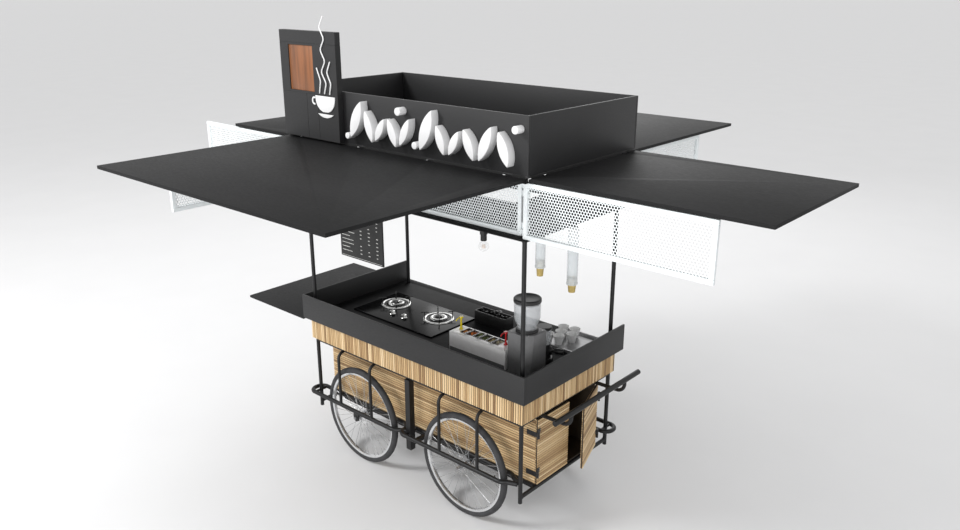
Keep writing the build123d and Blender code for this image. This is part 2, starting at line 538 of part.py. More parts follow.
# ---------------- lamps, menu board, cup dispensers ----------------
LAMPX = (-610.0, 610.0)
hol, bulbs = [], []
for x in LAMPX:
    hz = TOP_RAIL_Z - POST_R
    h = cyl(16, (x, -POST_Y, hz - 46), (x, -POST_Y, hz - 8)) + box(x - 14, x + 14, -POST_Y - 15.5, -POST_Y + 15.5, hz - 12, hz + 14)
    h -= cyl(POST_R - 0.15, (x - 40, -POST_Y, TOP_RAIL_Z), (x + 40, -POST_Y, TOP_RAIL_Z))
    hol.append(max(h.solids(), key=lambda s: s.volume))
    bulbs.append(Pos(x, -POST_Y, hz - 46.2 - 31) * Sphere(29) + cyl(11, (x, -POST_Y, hz - 60), (x, -POST_Y, hz - 46.1)))
DISP = [(888.0, -296.0, 27.0, 1596.0), (888.0, 2.0, 31.0, 1420.0)]
tubes, stacks = [], []
for x, y, r, z in DISP:
    top = TOP_RAIL_Z - POST_R - 16
    hol.append((box(x - 15.5, x + 15.5, y - 14, y + 14, top + 0.2, TOP_RAIL_Z + 4) - cyl(POST_R - 0.15, (x, y - 40, TOP_RAIL_Z), (x, y + 40, TOP_RAIL_Z))).solids().sort_by(Axis.Z)[0])
    tubes.append(cyl(r, (x, y, z + 46), (x, y, top)) - cyl(r - 2, (x, y, z + 40), (x, y, top - 3)))
    s = cone(r * 0.62, r - 5, x, y, z, z + 62) - cone(r * 0.62 - 1.5, r - 6.5, x, y, z + 2, z + 63)
    s += cone(r - 3.2, r - 2.3, x, y, z + 50, z + 58) - cone(r - 6.4, r - 6.4, x, y, z + 49, z + 59)
    stacks.append(s)
save("rail_brackets", hol)
save("lamp_bulbs", bulbs)
save("dispenser_tubes", tubes)
save("dispenser_cups", stacks)
MB = (-578.0, -190.0, 1433.0, 1783.0)
mb = box(MB[0], MB[1], -POST_Y - 6, -POST_Y + 6, MB[2], MB[3])
for x in (MB[0] + 50, MB[1] - 50):
    mb += box(x - 8, x + 8, -POST_Y - 2, -POST_Y + 2, MB[3] - 2, TOP_RAIL_Z - POST_R)
save("menu_board", mb)
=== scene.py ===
import bpy, bmesh, math, json, random
import numpy as np
from mathutils import Vector, Matrix

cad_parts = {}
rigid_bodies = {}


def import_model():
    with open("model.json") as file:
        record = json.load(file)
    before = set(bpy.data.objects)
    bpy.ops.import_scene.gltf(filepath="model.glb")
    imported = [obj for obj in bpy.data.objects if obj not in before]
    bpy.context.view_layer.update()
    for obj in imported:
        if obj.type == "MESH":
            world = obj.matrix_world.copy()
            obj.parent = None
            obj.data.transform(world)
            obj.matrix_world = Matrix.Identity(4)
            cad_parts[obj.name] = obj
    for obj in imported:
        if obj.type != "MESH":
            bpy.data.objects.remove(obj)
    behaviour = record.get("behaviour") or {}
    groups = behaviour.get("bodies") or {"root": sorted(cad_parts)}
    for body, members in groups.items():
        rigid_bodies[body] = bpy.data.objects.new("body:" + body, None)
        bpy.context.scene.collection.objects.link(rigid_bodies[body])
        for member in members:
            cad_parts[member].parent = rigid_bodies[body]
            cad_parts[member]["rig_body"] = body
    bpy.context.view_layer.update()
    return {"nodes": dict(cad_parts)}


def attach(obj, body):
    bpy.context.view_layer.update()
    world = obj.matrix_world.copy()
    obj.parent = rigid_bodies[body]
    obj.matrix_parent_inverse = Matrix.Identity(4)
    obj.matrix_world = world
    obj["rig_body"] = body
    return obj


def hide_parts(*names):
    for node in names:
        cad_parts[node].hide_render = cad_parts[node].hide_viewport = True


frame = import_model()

rng = np.random.default_rng(7)
random.seed(7)
SX = -0.1215                      # cart middle, in the frame's X
N = frame["nodes"]
sc = bpy.context.scene

# ------------------------------------------------------------------ camera
cam = bpy.data.cameras.new("camera")
cam_o = bpy.data.objects.new("camera", cam)
sc.collection.objects.link(cam_o)
cam_o.location = (3.431 + SX, -3.661, 3.084)
cam_o.rotation_euler = (math.radians(90 - 18.767), 0, math.radians(41.394))
cam.sensor_width = 36
cam.lens = 31.583
cam.clip_end = 1500
sc.camera = cam_o
sc.view_settings.view_transform = "Standard"


# ------------------------------------------------------------------ materials
def nodes_of(m):
    m.use_nodes = True
    nt = m.node_tree
    return nt, nt.nodes["Principled BSDF"]


def link(nt, a, b):
    nt.links.new(a, b)


def noise(nt, coord, scale, detail=3.0, rough=0.5, stretch=(1, 1, 1)):
    mp = nt.nodes.new("ShaderNodeMapping")
    mp.inputs["Scale"].default_value = stretch
    link(nt, coord.outputs["Object"], mp.inputs["Vector"])
    n = nt.nodes.new("ShaderNodeTexNoise")
    n.inputs["Scale"].default_value = scale
    n.inputs["Detail"].default_value = detail
    n.inputs["Roughness"].default_value = rough
    link(nt, mp.outputs[0], n.inputs["Vector"])
    return n


def ramp(nt, fac, stops):
    r = nt.nodes.new("ShaderNodeValToRGB")
    e = r.color_ramp.elements
    while len(e) < len(stops):
        e.new(0.5)
    for el, (p, c) in zip(e, stops):
        el.position = p
        el.color = (*c, 1)
    link(nt, fac, r.inputs["Fac"])
    return r


def surface(name, col, rough=0.5, metal=0.0, var=0.12, vscale=6.0, fine=300.0, bump=0.05, bdist=0.0004, stretch=(1, 1, 1), rvar=0.12, coat=0.0, spec=None):
    # painted, moulded or metal surface: broad colour drift, fine grain in roughness and bump
    m = bpy.data.materials.new(name)
    nt, p = nodes_of(m)
    tc = nt.nodes.new("ShaderNodeTexCoord")
    n1 = noise(nt, tc, vscale, 4.0, 0.6, stretch)
    lo = tuple(max(0, c * (1 - var)) for c in col)
    hi = tuple(min(1, c * (1 + var)) for c in col)
    r1 = ramp(nt, n1.outputs["Fac"], [(0.3, lo), (0.7, hi)])
    link(nt, r1.outputs["Color"], p.inputs["Base Color"])
    n2 = noise(nt, tc, fine, 3.0, 0.6, stretch)
    rr = nt.nodes.new("ShaderNodeMapRange")
    rr.inputs["To Min"].default_value = max(0.02, rough - rvar)
    rr.inputs["To Max"].default_value = min(1, rough + rvar)
    link(nt, n2.outputs["Fac"], rr.inputs["Value"])
    link(nt, rr.outputs["Result"], p.inputs["Roughness"])
    b = nt.nodes.new("ShaderNodeBump")
    b.inputs["Strength"].default_value = bump
    b.inputs["Distance"].default_value = bdist
    link(nt, n2.outputs["Fac"], b.inputs["Height"])
    link(nt, b.outputs["Normal"], p.inputs["Normal"])
    p.inputs["Metallic"].default_value = metal
    if coat:
        p.inputs["Coat Weight"].default_value = coat
        p.inputs["Coat Roughness"].default_value = 0.15
    if spec is not None:
        p.inputs["Specular IOR Level"].default_value = spec
    return m


def bamboo(name, stretch, dark=1.0):
    m = bpy.data.materials.new(name)
    nt, p = nodes_of(m)
    tc = nt.nodes.new("ShaderNodeTexCoord")
    at = nt.nodes.new("ShaderNodeAttribute")
    at.attribute_name = "tone"
    n1 = noise(nt, tc, 1.0, 6.0, 0.65, stretch)
    mix = nt.nodes.new("ShaderNodeMath")
    mix.operation = "MULTIPLY_ADD"
    mix.inputs[1].default_value = 0.42
    link(nt, n1.outputs["Fac"], mix.inputs[0])
    sc_ = nt.nodes.new("ShaderNodeMath")
    sc_.operation = "MULTIPLY"
    sc_.inputs[1].default_value = 0.72
    link(nt, at.outputs["Fac"], sc_.inputs[0])
    link(nt, sc_.outputs[0], mix.inputs[2])
    d = dark
    r = ramp(nt, mix.outputs[0], [(0.12, (0.17 * d, 0.092 * d, 0.038 * d)), (0.36, (0.36 * d, 0.225 * d, 0.102 * d)), (0.60, (0.55 * d, 0.38 * d, 0.195 * d)), (0.88, (0.72 * d, 0.55 * d, 0.33 * d))])
    link(nt, r.outputs["Color"], p.inputs["Base Color"])
    rr = nt.nodes.new("ShaderNodeMapRange")
    rr.inputs["To Min"].default_value = 0.38
    rr.inputs["To Max"].default_value = 0.68
    link(nt, n1.outputs["Fac"], rr.inputs["Value"])
    link(nt, rr.outputs["Result"], p.inputs["Roughness"])
    b = nt.nodes.new("ShaderNodeBump")
    b.inputs["Strength"].default_value = 0.35
    b.inputs["Distance"].default_value = 0.0006
    link(nt, n1.outputs["Fac"], b.inputs["Height"])
    link(nt, b.outputs["Normal"], p.inputs["Normal"])
    return m


def clear(name, col, rough=0.05, alpha=0.25, ior=1.45):
    m = bpy.data.materials.new(name)
    nt, p = nodes_of(m)
    p.inputs["Base Color"].default_value = (*col, 1)
    p.inputs["Alpha"].default_value = alpha
    p.inputs["IOR"].default_value = ior
    tc = nt.nodes.new("ShaderNodeTexCoord")
    n2 = noise(nt, tc, 60, 2.0)
    rr = nt.nodes.new("ShaderNodeMapRange")
    rr.inputs["To Min"].default_value = rough
    rr.inputs["To Max"].default_value = rough + 0.12
    link(nt, n2.outputs["Fac"], rr.inputs["Value"])
    link(nt, rr.outputs["Result"], p.inputs["Roughness"])
    return m


M = {}
M["frame_steel"] = surface("frame_steel", (0.008, 0.008, 0.0085), 0.42, 0.0, 0.25, 9, 420, 0.10, spec=0.35)
M["hinge_steel"] = surface("hinge_steel", (0.03, 0.03, 0.032), 0.34, 0.6, 0.25, 30, 600, 0.08)
M["axle_steel"] = surface("axle_steel", (0.42, 0.42, 0.43), 0.32, 1.0, 0.15, 60, 900, 0.12, stretch=(1, 6, 6))
M["apron"] = surface("apron_board", (0.0115, 0.0115, 0.012), 0.55, 0.0, 0.22, 3.0, 160, 0.16, stretch=(0.25, 1, 1))
M["canopy"] = surface("canopy_board", (0.015, 0.015, 0.0158), 0.55, 0.0, 0.2, 2.4, 150, 0.18, stretch=(0.25, 1, 1))
M["ceiling"] = surface("ceiling_board", (0.008, 0.008, 0.0083), 0.7, 0.0, 0.25, 3.0, 150, 0.18, stretch=(0.25, 1, 1), spec=0.1)
M["flap"] = surface("flap_board", (0.010, 0.010, 0.0104), 0.62, 0.0, 0.28, 2.0, 140, 0.2, stretch=(0.3, 1, 1), spec=0.18)
M["top"] = surface("dark_worktop", (0.010, 0.010, 0.0105), 0.6, 0.0, 0.3, 14, 260, 0.1, spec=0.12)
M["edge"] = surface("edge_band", (0.012, 0.012, 0.012), 0.42, 0.0, 0.2, 20, 400, 0.08)
M["mesh_white"] = surface("mesh_white", (0.80, 0.84, 0.85), 0.36, 0.0, 0.05, 8, 500, 0.05)
M["white"] = surface("white_plastic", (0.86, 0.86, 0.865), 0.3, 0.0, 0.035, 7, 380, 0.05, coat=0.3)
M["icon"] = surface("icon_white", (0.88, 0.88, 0.88), 0.36, 0.0, 0.03, 9, 380, 0.04)
M["rim"] = surface("rim_alloy", (0.72, 0.73, 0.74), 0.27, 0.85, 0.08, 14, 700, 0.06)
M["spoke"] = surface("spoke_steel", (0.55, 0.56, 0.57), 0.25, 1.0, 0.1, 40, 900, 0.04)
M["hubm"] = surface("hub_alloy", (0.35, 0.35, 0.36), 0.3, 1.0, 0.12, 40, 900, 0.06)
M["tyre"] = surface("tyre_rubber", (0.030, 0.030, 0.032), 0.78, 0.0, 0.3, 18, 520, 0.35, 0.0006)
M["slat_x"] = bamboo("bamboo_slat_x", (5, 240, 240))
M["slat_y"] = bamboo("bamboo_slat_y", (240, 5, 240))
M["slat_z"] = bamboo("bamboo_strip_z", (240, 240, 9), 1.03)
M["back_x"] = surface("backing_board", (0.030, 0.018, 0.008), 0.7, 0.0, 0.3, 12, 220, 0.2)
M["signwood"] = surface("sign_veneer", (0.24, 0.088, 0.030), 0.42, 0.0, 0.42, 22, 260, 0.22, stretch=(1, 1, 0.07), coat=0.2)
M["hob"] = surface("hob_glass", (0.0022, 0.0022, 0.0025), 0.16, 0.0, 0.3, 30, 60, 0.004, rvar=0.04, spec=0.07)
M["burner"] = surface("burner_steel", (0.62, 0.62, 0.61), 0.28, 1.0, 0.12, 40, 800, 0.12)
M["burner_dark"] = surface("burner_cap", (0.02, 0.02, 0.02), 0.45, 0.2, 0.25, 60, 600, 0.2)
M["support"] = surface("support_iron", (0.028, 0.028, 0.028), 0.55, 0.3, 0.3, 60, 700, 0.35)
M["knob"] = surface("knob_metal", (0.70, 0.70, 0.69), 0.24, 1.0, 0.08, 50, 900, 0.08, stretch=(1, 1, 8))
M["cond"] = surface("condiment_white", (0.90, 0.89, 0.885), 0.3, 0.0, 0.05, 10, 500, 0.05, coat=0.2)
M["steel"] = surface("brushed_steel", (0.50, 0.50, 0.50), 0.3, 1.0, 0.14, 18, 600, 0.16, stretch=(0.05, 1, 1))
M["steel_plate"] = surface("grey_plinth", (0.15, 0.15, 0.155), 0.42, 0.3, 0.14, 18, 600, 0.1, stretch=(0.05, 1, 1))
M["yellow"] = surface("pump_yellow", (0.80, 0.62, 0.01), 0.28, 0.0, 0.06, 30, 400, 0.03, coat=0.4)
M["red"] = surface("pump_red", (0.52, 0.012, 0.014), 0.28, 0.0, 0.1, 30, 400, 0.03, coat=0.4)
M["grinder"] = surface("grinder_grey", (0.15, 0.15, 0.152), 0.42, 0.15, 0.14, 14, 620, 0.12)
M["black"] = surface("black_plastic", (0.014, 0.014, 0.014), 0.42, 0.0, 0.25, 30, 520, 0.12)
M["clearp"] = clear("clear_plastic", (0.62, 0.64, 0.66), 0.08, 0.34)
M["tubep"] = clear("tube_plastic", (0.80, 0.84, 0.86), 0.05, 0.36)
M["bulb"] = clear("bulb_glass", (0.9, 0.92, 0.93), 0.02, 0.16)
M["tray"] = surface("tray_steel", (0.40, 0.40, 0.405), 0.42, 0.55, 0.14, 18, 600, 0.12, stretch=(0.05, 1, 1))
M["cup"] = surface("cup_glaze", (0.92, 0.92, 0.915), 0.2, 0.0, 0.04, 30, 300, 0.03, coat=0.5)
M["kraft"] = surface("kraft_paper", (0.42, 0.31, 0.10), 0.7, 0.0, 0.16, 60, 700, 0.2)
M["menu"] = surface("menu_board", (0.012, 0.012, 0.012), 0.6, 0.0, 0.3, 12, 260, 0.15)
M["chalk"] = surface("menu_marks", (0.62, 0.62, 0.60), 0.7, 0.0, 0.1, 40, 500, 0.2)
M["wire"] = surface("filament", (0.75, 0.38, 0.10), 0.4, 0.8, 0.1, 60, 600, 0.05)
M["utensil"] = surface("utensil_black", (0.012, 0.012, 0.012), 0.5, 0.0, 0.3, 40, 500, 0.15)


# ------------------------------------------------------------------ mesh building
class B:
    """collects closed shapes for one mesh"""
    def __init__(self):
        self.v, self.f, self.m, self.t, self.n = [], [], [], [], 0

    def add(self, verts, faces, mi=0, tone=0.5):
        verts = np.asarray(verts, float).reshape(-1, 3)
        self.v.append(verts)
        self.f += [tuple(int(i) + self.n for i in f) for f in faces]
        self.m += [mi] * len(faces)
        self.t += [tone] * len(faces)
        self.n += len(verts)

    def box(self, lo, hi, mi=0, tone=0.5, c=0.0):
        # box with chamfered edges of size c
        lo, hi = np.array(lo, float), np.array(hi, float)
        if c <= 0:
            x0, y0, z0 = lo; x1, y1, z1 = hi
            v = [(x0, y0, z0), (x1, y0, z0), (x1, y1, z0), (x0, y1, z0), (x0, y0, z1), (x1, y0, z1), (x1, y1, z1), (x0, y1, z1)]
            f = [(0, 3, 2, 1), (4, 5, 6, 7), (0, 1, 5, 4), (1, 2, 6, 5), (2, 3, 7, 6), (3, 0, 4, 7)]
            self.add(v, f, mi, tone); return
        c = min(c, *(0.45 * (hi - lo)))
        v, idx = [], {}
        for k, (sx, sy, sz) in enumerate([(a, b, d) for a in (0, 1) for b in (0, 1) for d in (0, 1)]):
            s = (sx, sy, sz)
            for ax in range(3):
                p = [lo[i] if s[i] == 0 else hi[i] for i in range(3)]
                for i in range(3):
                    if i != ax:
                        p[i] += c if s[i] == 0 else -c
                idx[(s, ax)] = len(v); v.append(p)
        f = []
        def face(ids):
            pts = [np.array(v[i]) for i in ids]
            nn = np.cross(pts[1] - pts[0], pts[2] - pts[1])
            cen = sum(pts) / len(pts) - (lo + hi) / 2
            f.append(tuple(ids) if np.dot(nn, cen) > 0 else tuple(ids[::-1]))
        for ax in range(3):
            o = [i for i in range(3) if i != ax]
            for s in (0, 1):
                ring = []
                for a, b in ((0, 0), (1, 0), (1, 1), (0, 1)):
                    k = [0, 0, 0]; k[ax] = s; k[o[0]] = a; k[o[1]] = b
                    ring.append(idx[(tuple(k), ax)])
                face(ring)
            for a in (0, 1):
                for b in (0, 1):
                    k0 = [0, 0, 0]; k0[o[0]] = a; k0[o[1]] = b
                    k1 = list(k0); k1[ax] = 1
                    face([idx[(tuple(k0), o[0])], idx[(tuple(k1), o[0])], idx[(tuple(k1), o[1])], idx[(tuple(k0), o[1])]])
        for sx in (0, 1):
            for sy in (0, 1):
                for sz in (0, 1):
                    face([idx[((sx, sy, sz), 0)], idx[((sx, sy, sz), 1)], idx[((sx, sy, sz), 2)]])
        self.add(v, f, mi, tone)

    def prism(self, prof, u, v, n, o, length, segs=1, mi=0, tone=0.5, wob=None):
        # profile (a, b) in the v-n plane, carried along u
        prof = np.array(prof, float); k = len(prof)
        u, v, n, o = (np.array(q, float) for q in (u, v, n, o))
        verts = []
        for i in range(segs + 1):
            s = 1.0
            dz = 0.0
            if wob is not None:
                s, dz = wob(i / segs)
            verts.append(o + u * (length * i / segs) + np.outer(prof[:, 0], v) + np.outer(prof[:, 1] * s + dz, n))
        verts = np.concatenate(verts)
        f = []
        flip = np.dot(np.cross(v, n), u) < 0
        for i in range(segs):
            for j in range(k):
                a, b = i * k + j, i * k + (j + 1) % k
                q = (a, b, b + k, a + k)
                f.append(q[::-1] if flip else q)
        c0, c1 = tuple(range(k)), tuple(range(segs * k, segs * k + k))
        f.append(c0 if flip else c0[::-1])
        f.append(c1[::-1] if flip else c1)
        self.add(verts, f, mi, tone)

    def lathe(self, prof, segs, centre, axis="z", mi=0, tone=0.5, closed=False):
        # prof: (r, h) from bottom axis to top axis; closed profile makes a ring
        prof = np.array(prof, float); k = len(prof)
        th = np.linspace(0, 2 * np.pi, segs, endpoint=False)
        c, s = np.cos(th), np.sin(th)
        V = np.zeros((segs, k, 3))
        V[:, :, 0] = np.outer(c, prof[:, 0]); V[:, :, 1] = np.outer(s, prof[:, 0]); V[:, :, 2] = prof[None, :, 1]
        if axis == "y":
            V = np.stack([V[:, :, 0], -V[:, :, 2], V[:, :, 1]], 2)
        elif axis == "x":
            V = np.stack([V[:, :, 2], V[:, :, 0], V[:, :, 1]], 2)
        V = V.reshape(-1, 3) + np.array(centre, float)
        f = []
        for i in range(segs):
            i2 = (i + 1) % segs
            for j in range(k if closed else k - 1):
                j2 = (j + 1) % k
                f.append((i * k + j, i2 * k + j, i2 * k + j2, i * k + j2))
        if not closed:
            f.append(tuple(i * k for i in range(segs))[::-1])
            f.append(tuple(i * k + k - 1 for i in range(segs)))
        self.add(V, f, mi, tone)

    def rod(self, p, q, r, segs=10, mi=0, tone=0.5, r2=None):
        p, q = np.array(p, float), np.array(q, float)
        d = q - p; L = np.linalg.norm(d); d /= L
        a = np.cross(d, (0, 0, 1.0))
        if np.linalg.norm(a) < 1e-3:
            a = np.cross(d, (0, 1.0, 0))
        a /= np.linalg.norm(a); b = np.cross(d, a)
        th = np.linspace(0, 2 * np.pi, segs, endpoint=False)
        ring = np.outer(np.cos(th), a) + np.outer(np.sin(th), b)
        r2 = r if r2 is None else r2
        V = np.concatenate([p + ring * r, q + ring * r2])
        f = [(i, (i + 1) % segs, segs + (i + 1) % segs, segs + i) for i in range(segs)]
        f.append(tuple(range(segs))[::-1]); f.append(tuple(range(segs, 2 * segs)))
        self.add(V, f, mi, tone)

    def path(self, pts, r, segs=10, mi=0, tone=0.5, closed=False):
        P = np.array(pts, float); n = len(P)
        T = np.roll(P, -1, 0) - np.roll(P, 1, 0) if closed else np.gradient(P, axis=0)
        T /= np.linalg.norm(T, axis=1)[:, None]
        a = np.cross(T[0], (0, 0, 1.0))
        if np.linalg.norm(a) < 1e-3:
            a = np.cross(T[0], (0, 1.0, 0))
        a /= np.linalg.norm(a)
        th = np.linspace(0, 2 * np.pi, segs, endpoint=False)
        V = []
        rr = np.broadcast_to(np.asarray(r, float), (n,))
        for i in range(n):
            a = a - T[i] * np.dot(a, T[i]); a /= np.linalg.norm(a)
            b = np.cross(T[i], a)
            V.append(P[i] + rr[i] * (np.outer(np.cos(th), a) + np.outer(np.sin(th), b)))
        V = np.concatenate(V); f = []
        for i in range(n if closed else n - 1):
            i2 = (i + 1) % n
            for j in range(segs):
                j2 = (j + 1) % segs
                f.append((i * segs + j, i * segs + j2, i2 * segs + j2, i2 * segs + j))
        if not closed:
            f.append(tuple(range(segs))[::-1]); f.append(tuple((n - 1) * segs + j for j in range(segs)))
        self.add(V, f, mi, tone)

    def make(self, name, mats, body, smooth=True, angle=35, tones=False):
        me = bpy.data.meshes.new(name)
        V = np.concatenate(self.v)
        me.from_pydata(V.tolist(), [], self.f)
        me.polygons.foreach_set("material_index", self.m)
        if tones:
            a = me.attributes.new("tone", "FLOAT", "FACE")
            a.data.foreach_set("value", self.t)
        for m in mats:
            me.materials.append(m)
        me.validate()
        bm = bmesh.new(); bm.from_mesh(me)
        bmesh.ops.recalc_face_normals(bm, faces=bm.faces)
        bm.to_mesh(me); bm.free()
        o = bpy.data.objects.new(name, me)
        sc.collection.objects.link(o)
        shade(o, smooth, angle)
        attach(o, body)
        return o


def shade(o, smooth=True, angle=35):
    me = o.data
    me.polygons.foreach_set("use_smooth", [smooth] * len(me.polygons))
    if smooth:
        me.update()
        bm = bmesh.new(); bm.from_mesh(me)
        lim = math.radians(angle)
        for e in bm.edges:
            e.smooth = not (len(e.link_faces) != 2 or e.calc_face_angle(0) > lim)
        bm.to_mesh(me); bm.free()


def body_of(node):
    return N[node].get("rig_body", "cart")


def dress(node, mat):
    """a CAD node keeps its shape and takes a better material"""
    o = N[node]
    if not o.data.materials:
        o.data.materials.append(mat)
    for s in o.material_slots:
        s.material = mat


def bevelled(node, mat, width=0.002, segs=2, name=None, angle=30, extra=()):
    """a copy of a CAD node with rounded edges, standing in for it"""
    src = N[node]
    me = src.data.copy()
    me.materials.clear()
    me.materials.append(mat)
    for m in extra:
        me.materials.append(m)
    bm = bmesh.new(); bm.from_mesh(me)
    bmesh.ops.remove_doubles(bm, verts=bm.verts, dist=1e-6)
    bmesh.ops.dissolve_limit(bm, angle_limit=math.radians(1.0), verts=bm.verts, edges=bm.edges)
    for f in bm.faces:
        f.material_index = 0
    bm.to_mesh(me); bm.free()
    o = bpy.data.objects.new(name or node.replace("_", "-") + "-finish", me)
    sc.collection.objects.link(o)
    if width:
        b = o.modifiers.new("edge", "BEVEL")
        b.width = width; b.segments = segs; b.limit_method = "ANGLE"; b.angle_limit = math.radians(angle)
        b.use_clamp_overlap = True
        dg = bpy.context.evaluated_depsgraph_get()
        new = bpy.data.meshes.new_from_object(o.evaluated_get(dg))
        o.modifiers.clear(); o.data = new
    shade(o, True, 30)
    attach(o, body_of(node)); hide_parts(node)
    return o


def X(x, y, z):
    return np.array([x / 1000 + SX, y / 1000, z / 1000])


# ------------------------------------------------------------------ steel frame
for n in ("corner_posts", "lower_frame", "frame_rails", "wheel_guards", "push_handle"):
    dress(n, M["frame_steel"])
dress("axles", M["axle_steel"])
dress("hinge_rods", M["hinge_steel"])

# weld beads where rails, bars and struts meet the posts, and foot plugs
w = B()
for sx in (-1, 1):
    for sy in (-1, 1):
        for z in (294, 760, 1823):
            for d in ((-sx, 0), (0, -sy)):
                a = np.array([d[0], d[1], 0.0]); c = X(sx * 888 + d[0] * 13.2, sy * 431 + d[1] * 13.2, z)
                if z == 294 and d[0]:
                    continue
                t1 = np.array([-d[1], d[0], 0.0]); t2 = np.array([0, 0, 1.0])
                th = np.linspace(0, 2 * np.pi, 28, endpoint=False)
                pts = [c + 0.0126 * (np.cos(q) * t1 + np.sin(q) * t2) - a * 0.0035 * (1 - math.sqrt(max(0, 1 - (0.0126 * math.cos(q) / 0.0128) ** 2))) for q in th]
                rr = 0.0019 + 0.00045 * np.sin(th * 9 + sx)
                w.path(pts, rr, 7, closed=True)
        w.lathe([(0.0, -0.004), (0.011, -0.004), (0.0128, -0.002), (0.0128, 0.0), (0.0, 0.0)][1:4] + [], 28, X(sx * 888, sy * 431, 260.8))
w.make("weld-beads", [M["frame_steel"]], "cart")

# ------------------------------------------------------------------ wheels
def wheel(tag, sx, sy):
    c = X(sx * 457, sy * 431, 332.5)
    bd = {"fl": "front_left_wheel", "fr": "front_right_wheel", "bl": "back_left_wheel", "br": "back_right_wheel"}[tag]
    # tyre: round casing with tread ribs, blocks and a sidewall bead
    segs = 216
    prof = []
    R, r = 0.3115, 0.0205
    for k in range(25):
        a = math.radians(-128 + 256 * k / 24)
        prof.append((R + r * math.cos(a), r * math.sin(a), a))
    th = np.linspace(0, 2 * np.pi, segs, endpoint=False)
    V = []
    for i, t in enumerate(th):
        for (pr, py, a) in prof:
            deg = abs(math.degrees(a))
            rr = pr
            if deg < 52:
                band = int((math.degrees(a) + 60) // 11)
                cut = (i + (band % 2) * 2) % 4 == 0
                rr += -0.0016 if cut else 0.0004
                if band % 3 == 1 and not cut:
                    rr -= 0.0007
            elif 70 < deg < 78:
                rr += 0.0003
            V.append((math.cos(t) * rr, py, math.sin(t) * rr))
    k = len(prof); f = []
    for i in range(segs):
        i2 = (i + 1) % segs
        for j in range(k):
            j2 = (j + 1) % k
            f.append((i * k + j, i * k + j2, i2 * k + j2, i2 * k + j))
    t = B(); t.add(np.array(V) + c, f)
    o = t.make("tyre-tread-" + tag, [M["tyre"]], bd, angle=50)
    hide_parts("tyre_" + tag)
    # rim, hub, spokes with nipples, valve
    w = B()
    ring = [(0.2830, -0.006), (0.2845, -0.0105), (0.2965, -0.0132), (0.3035, -0.0128), (0.3042, -0.0112), (0.2985, -0.0100), (0.2962, -0.004), (0.2962, 0.004), (0.2985, 0.0100), (0.3042, 0.0112), (0.3035, 0.0128), (0.2965, 0.0132), (0.2845, 0.0105), (0.2830, 0.006)]
    w.lathe(ring, 160, c, axis="y", mi=0, closed=True)
    hub = [(0.0062, -0.035), (0.0140, -0.035), (0.0150, -0.0335), (0.0150, -0.0300), (0.0255, -0.0290), (0.0260, -0.0270), (0.0250, -0.0252), (0.0135, -0.0235), (0.0110, -0.014), (0.0105, 0.0), (0.0110, 0.014), (0.0135, 0.0235), (0.0250, 0.0252), (0.0260, 0.0270), (0.0255, 0.0290), (0.0150, 0.0300), (0.0150, 0.0335), (0.0140, 0.035), (0.0062, 0.035)]
    w.lathe(hub, 40, c, axis="y", mi=2, closed=True)
    NS = 36
    for i in range(NS):
        side = 1 if i % 2 else -1
        a = 2 * math.pi * i / NS
        b = a + (1 if (i // 2) % 2 else -1) * math.radians(62)
        y0 = side * (0.0266 + (0.0016 if (i // 2) % 2 else -0.0016))
        p = c + np.array([0.0225 * math.cos(b), y0, 0.0225 * math.sin(b)])
        q = c + np.array([0.2835 * math.cos(a), side * 0.0025, 0.2835 * math.sin(a)])
        w.rod(p, q, 0.00125, 7, mi=1)
        d = (q - p) / np.linalg.norm(q - p)
        w.rod(q - d * 0.013, q, 0.0019, 8, mi=2, r2=0.0026)
        w.rod(p - d * 0.002, p + d * 0.003, 0.0021, 7, mi=1)
    a = math.radians(5)
    vq = np.array([math.cos(a), 0, math.sin(a)])
    w.rod(c + vq * 0.2835, c + vq * 0.247, 0.003, 10, mi=2)
    w.rod(c + vq * 0.247, c + vq * 0.237, 0.0042, 10, mi=3, r2=0.0034)
    o = w.make("wheel-build-" + tag, [M["rim"], M["spoke"], M["hubm"], M["black"]], bd)
    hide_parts("spoked_rim_" + tag)


for tag, sx, sy in (("fl", -1, -1), ("fr", 1, -1), ("bl", -1, 1), ("br", 1, 1)):
    wheel(tag, sx, sy)

# ------------------------------------------------------------------ bamboo
def slat_prof(wd, th, n=5, base=0.0):
    # rounded outer face, flat back: width along a, thickness along b
    pts = [(-wd / 2, base), (-wd / 2, th * 0.55)]
    for i in range(1, n):
        q = math.pi * i / n
        pts.append((-wd / 2 * math.cos(q), th * (0.55 + 0.45 * math.sin(q))))
    pts += [(wd / 2, th * 0.55), (wd / 2, base)]
    return pts


def slats(b, o, u, v, n, length, height, pitch, th, segs, mi=0):
    """slats along u stacked along v, proud along n"""
    cnt = max(1, int(round(height / pitch))); pt = height / cnt
    u, v, n, o = (np.array(q, float) for q in (u, v, n, o))
    for i in range(cnt):
        ph, am = rng.uniform(0, 6.28), rng.uniform(0.00004, 0.00022)
        tn = float(np.clip(rng.normal(0.5, 0.22), 0, 1))
        tt = th * rng.uniform(0.9, 1.0)
        gap = rng.uniform(0.0030, 0.0040)
        b.prism(slat_prof(pt - gap, tt), u, v, n, o + v * (pt * (i + 0.5)), length, segs, mi, tn, wob=lambda s, ph=ph, am=am: (1 + 0.05 * math.sin(7 * s + ph), -am * (1 + math.sin(11 * s + ph)) / 1))


def wall_piece(name, body, build, mats, node=None):
    b = B(); build(b)
    o = b.make(name, mats, body, tones=True, angle=40)
    if node:
        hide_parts(*([node] if isinstance(node, str) else node))
    return o


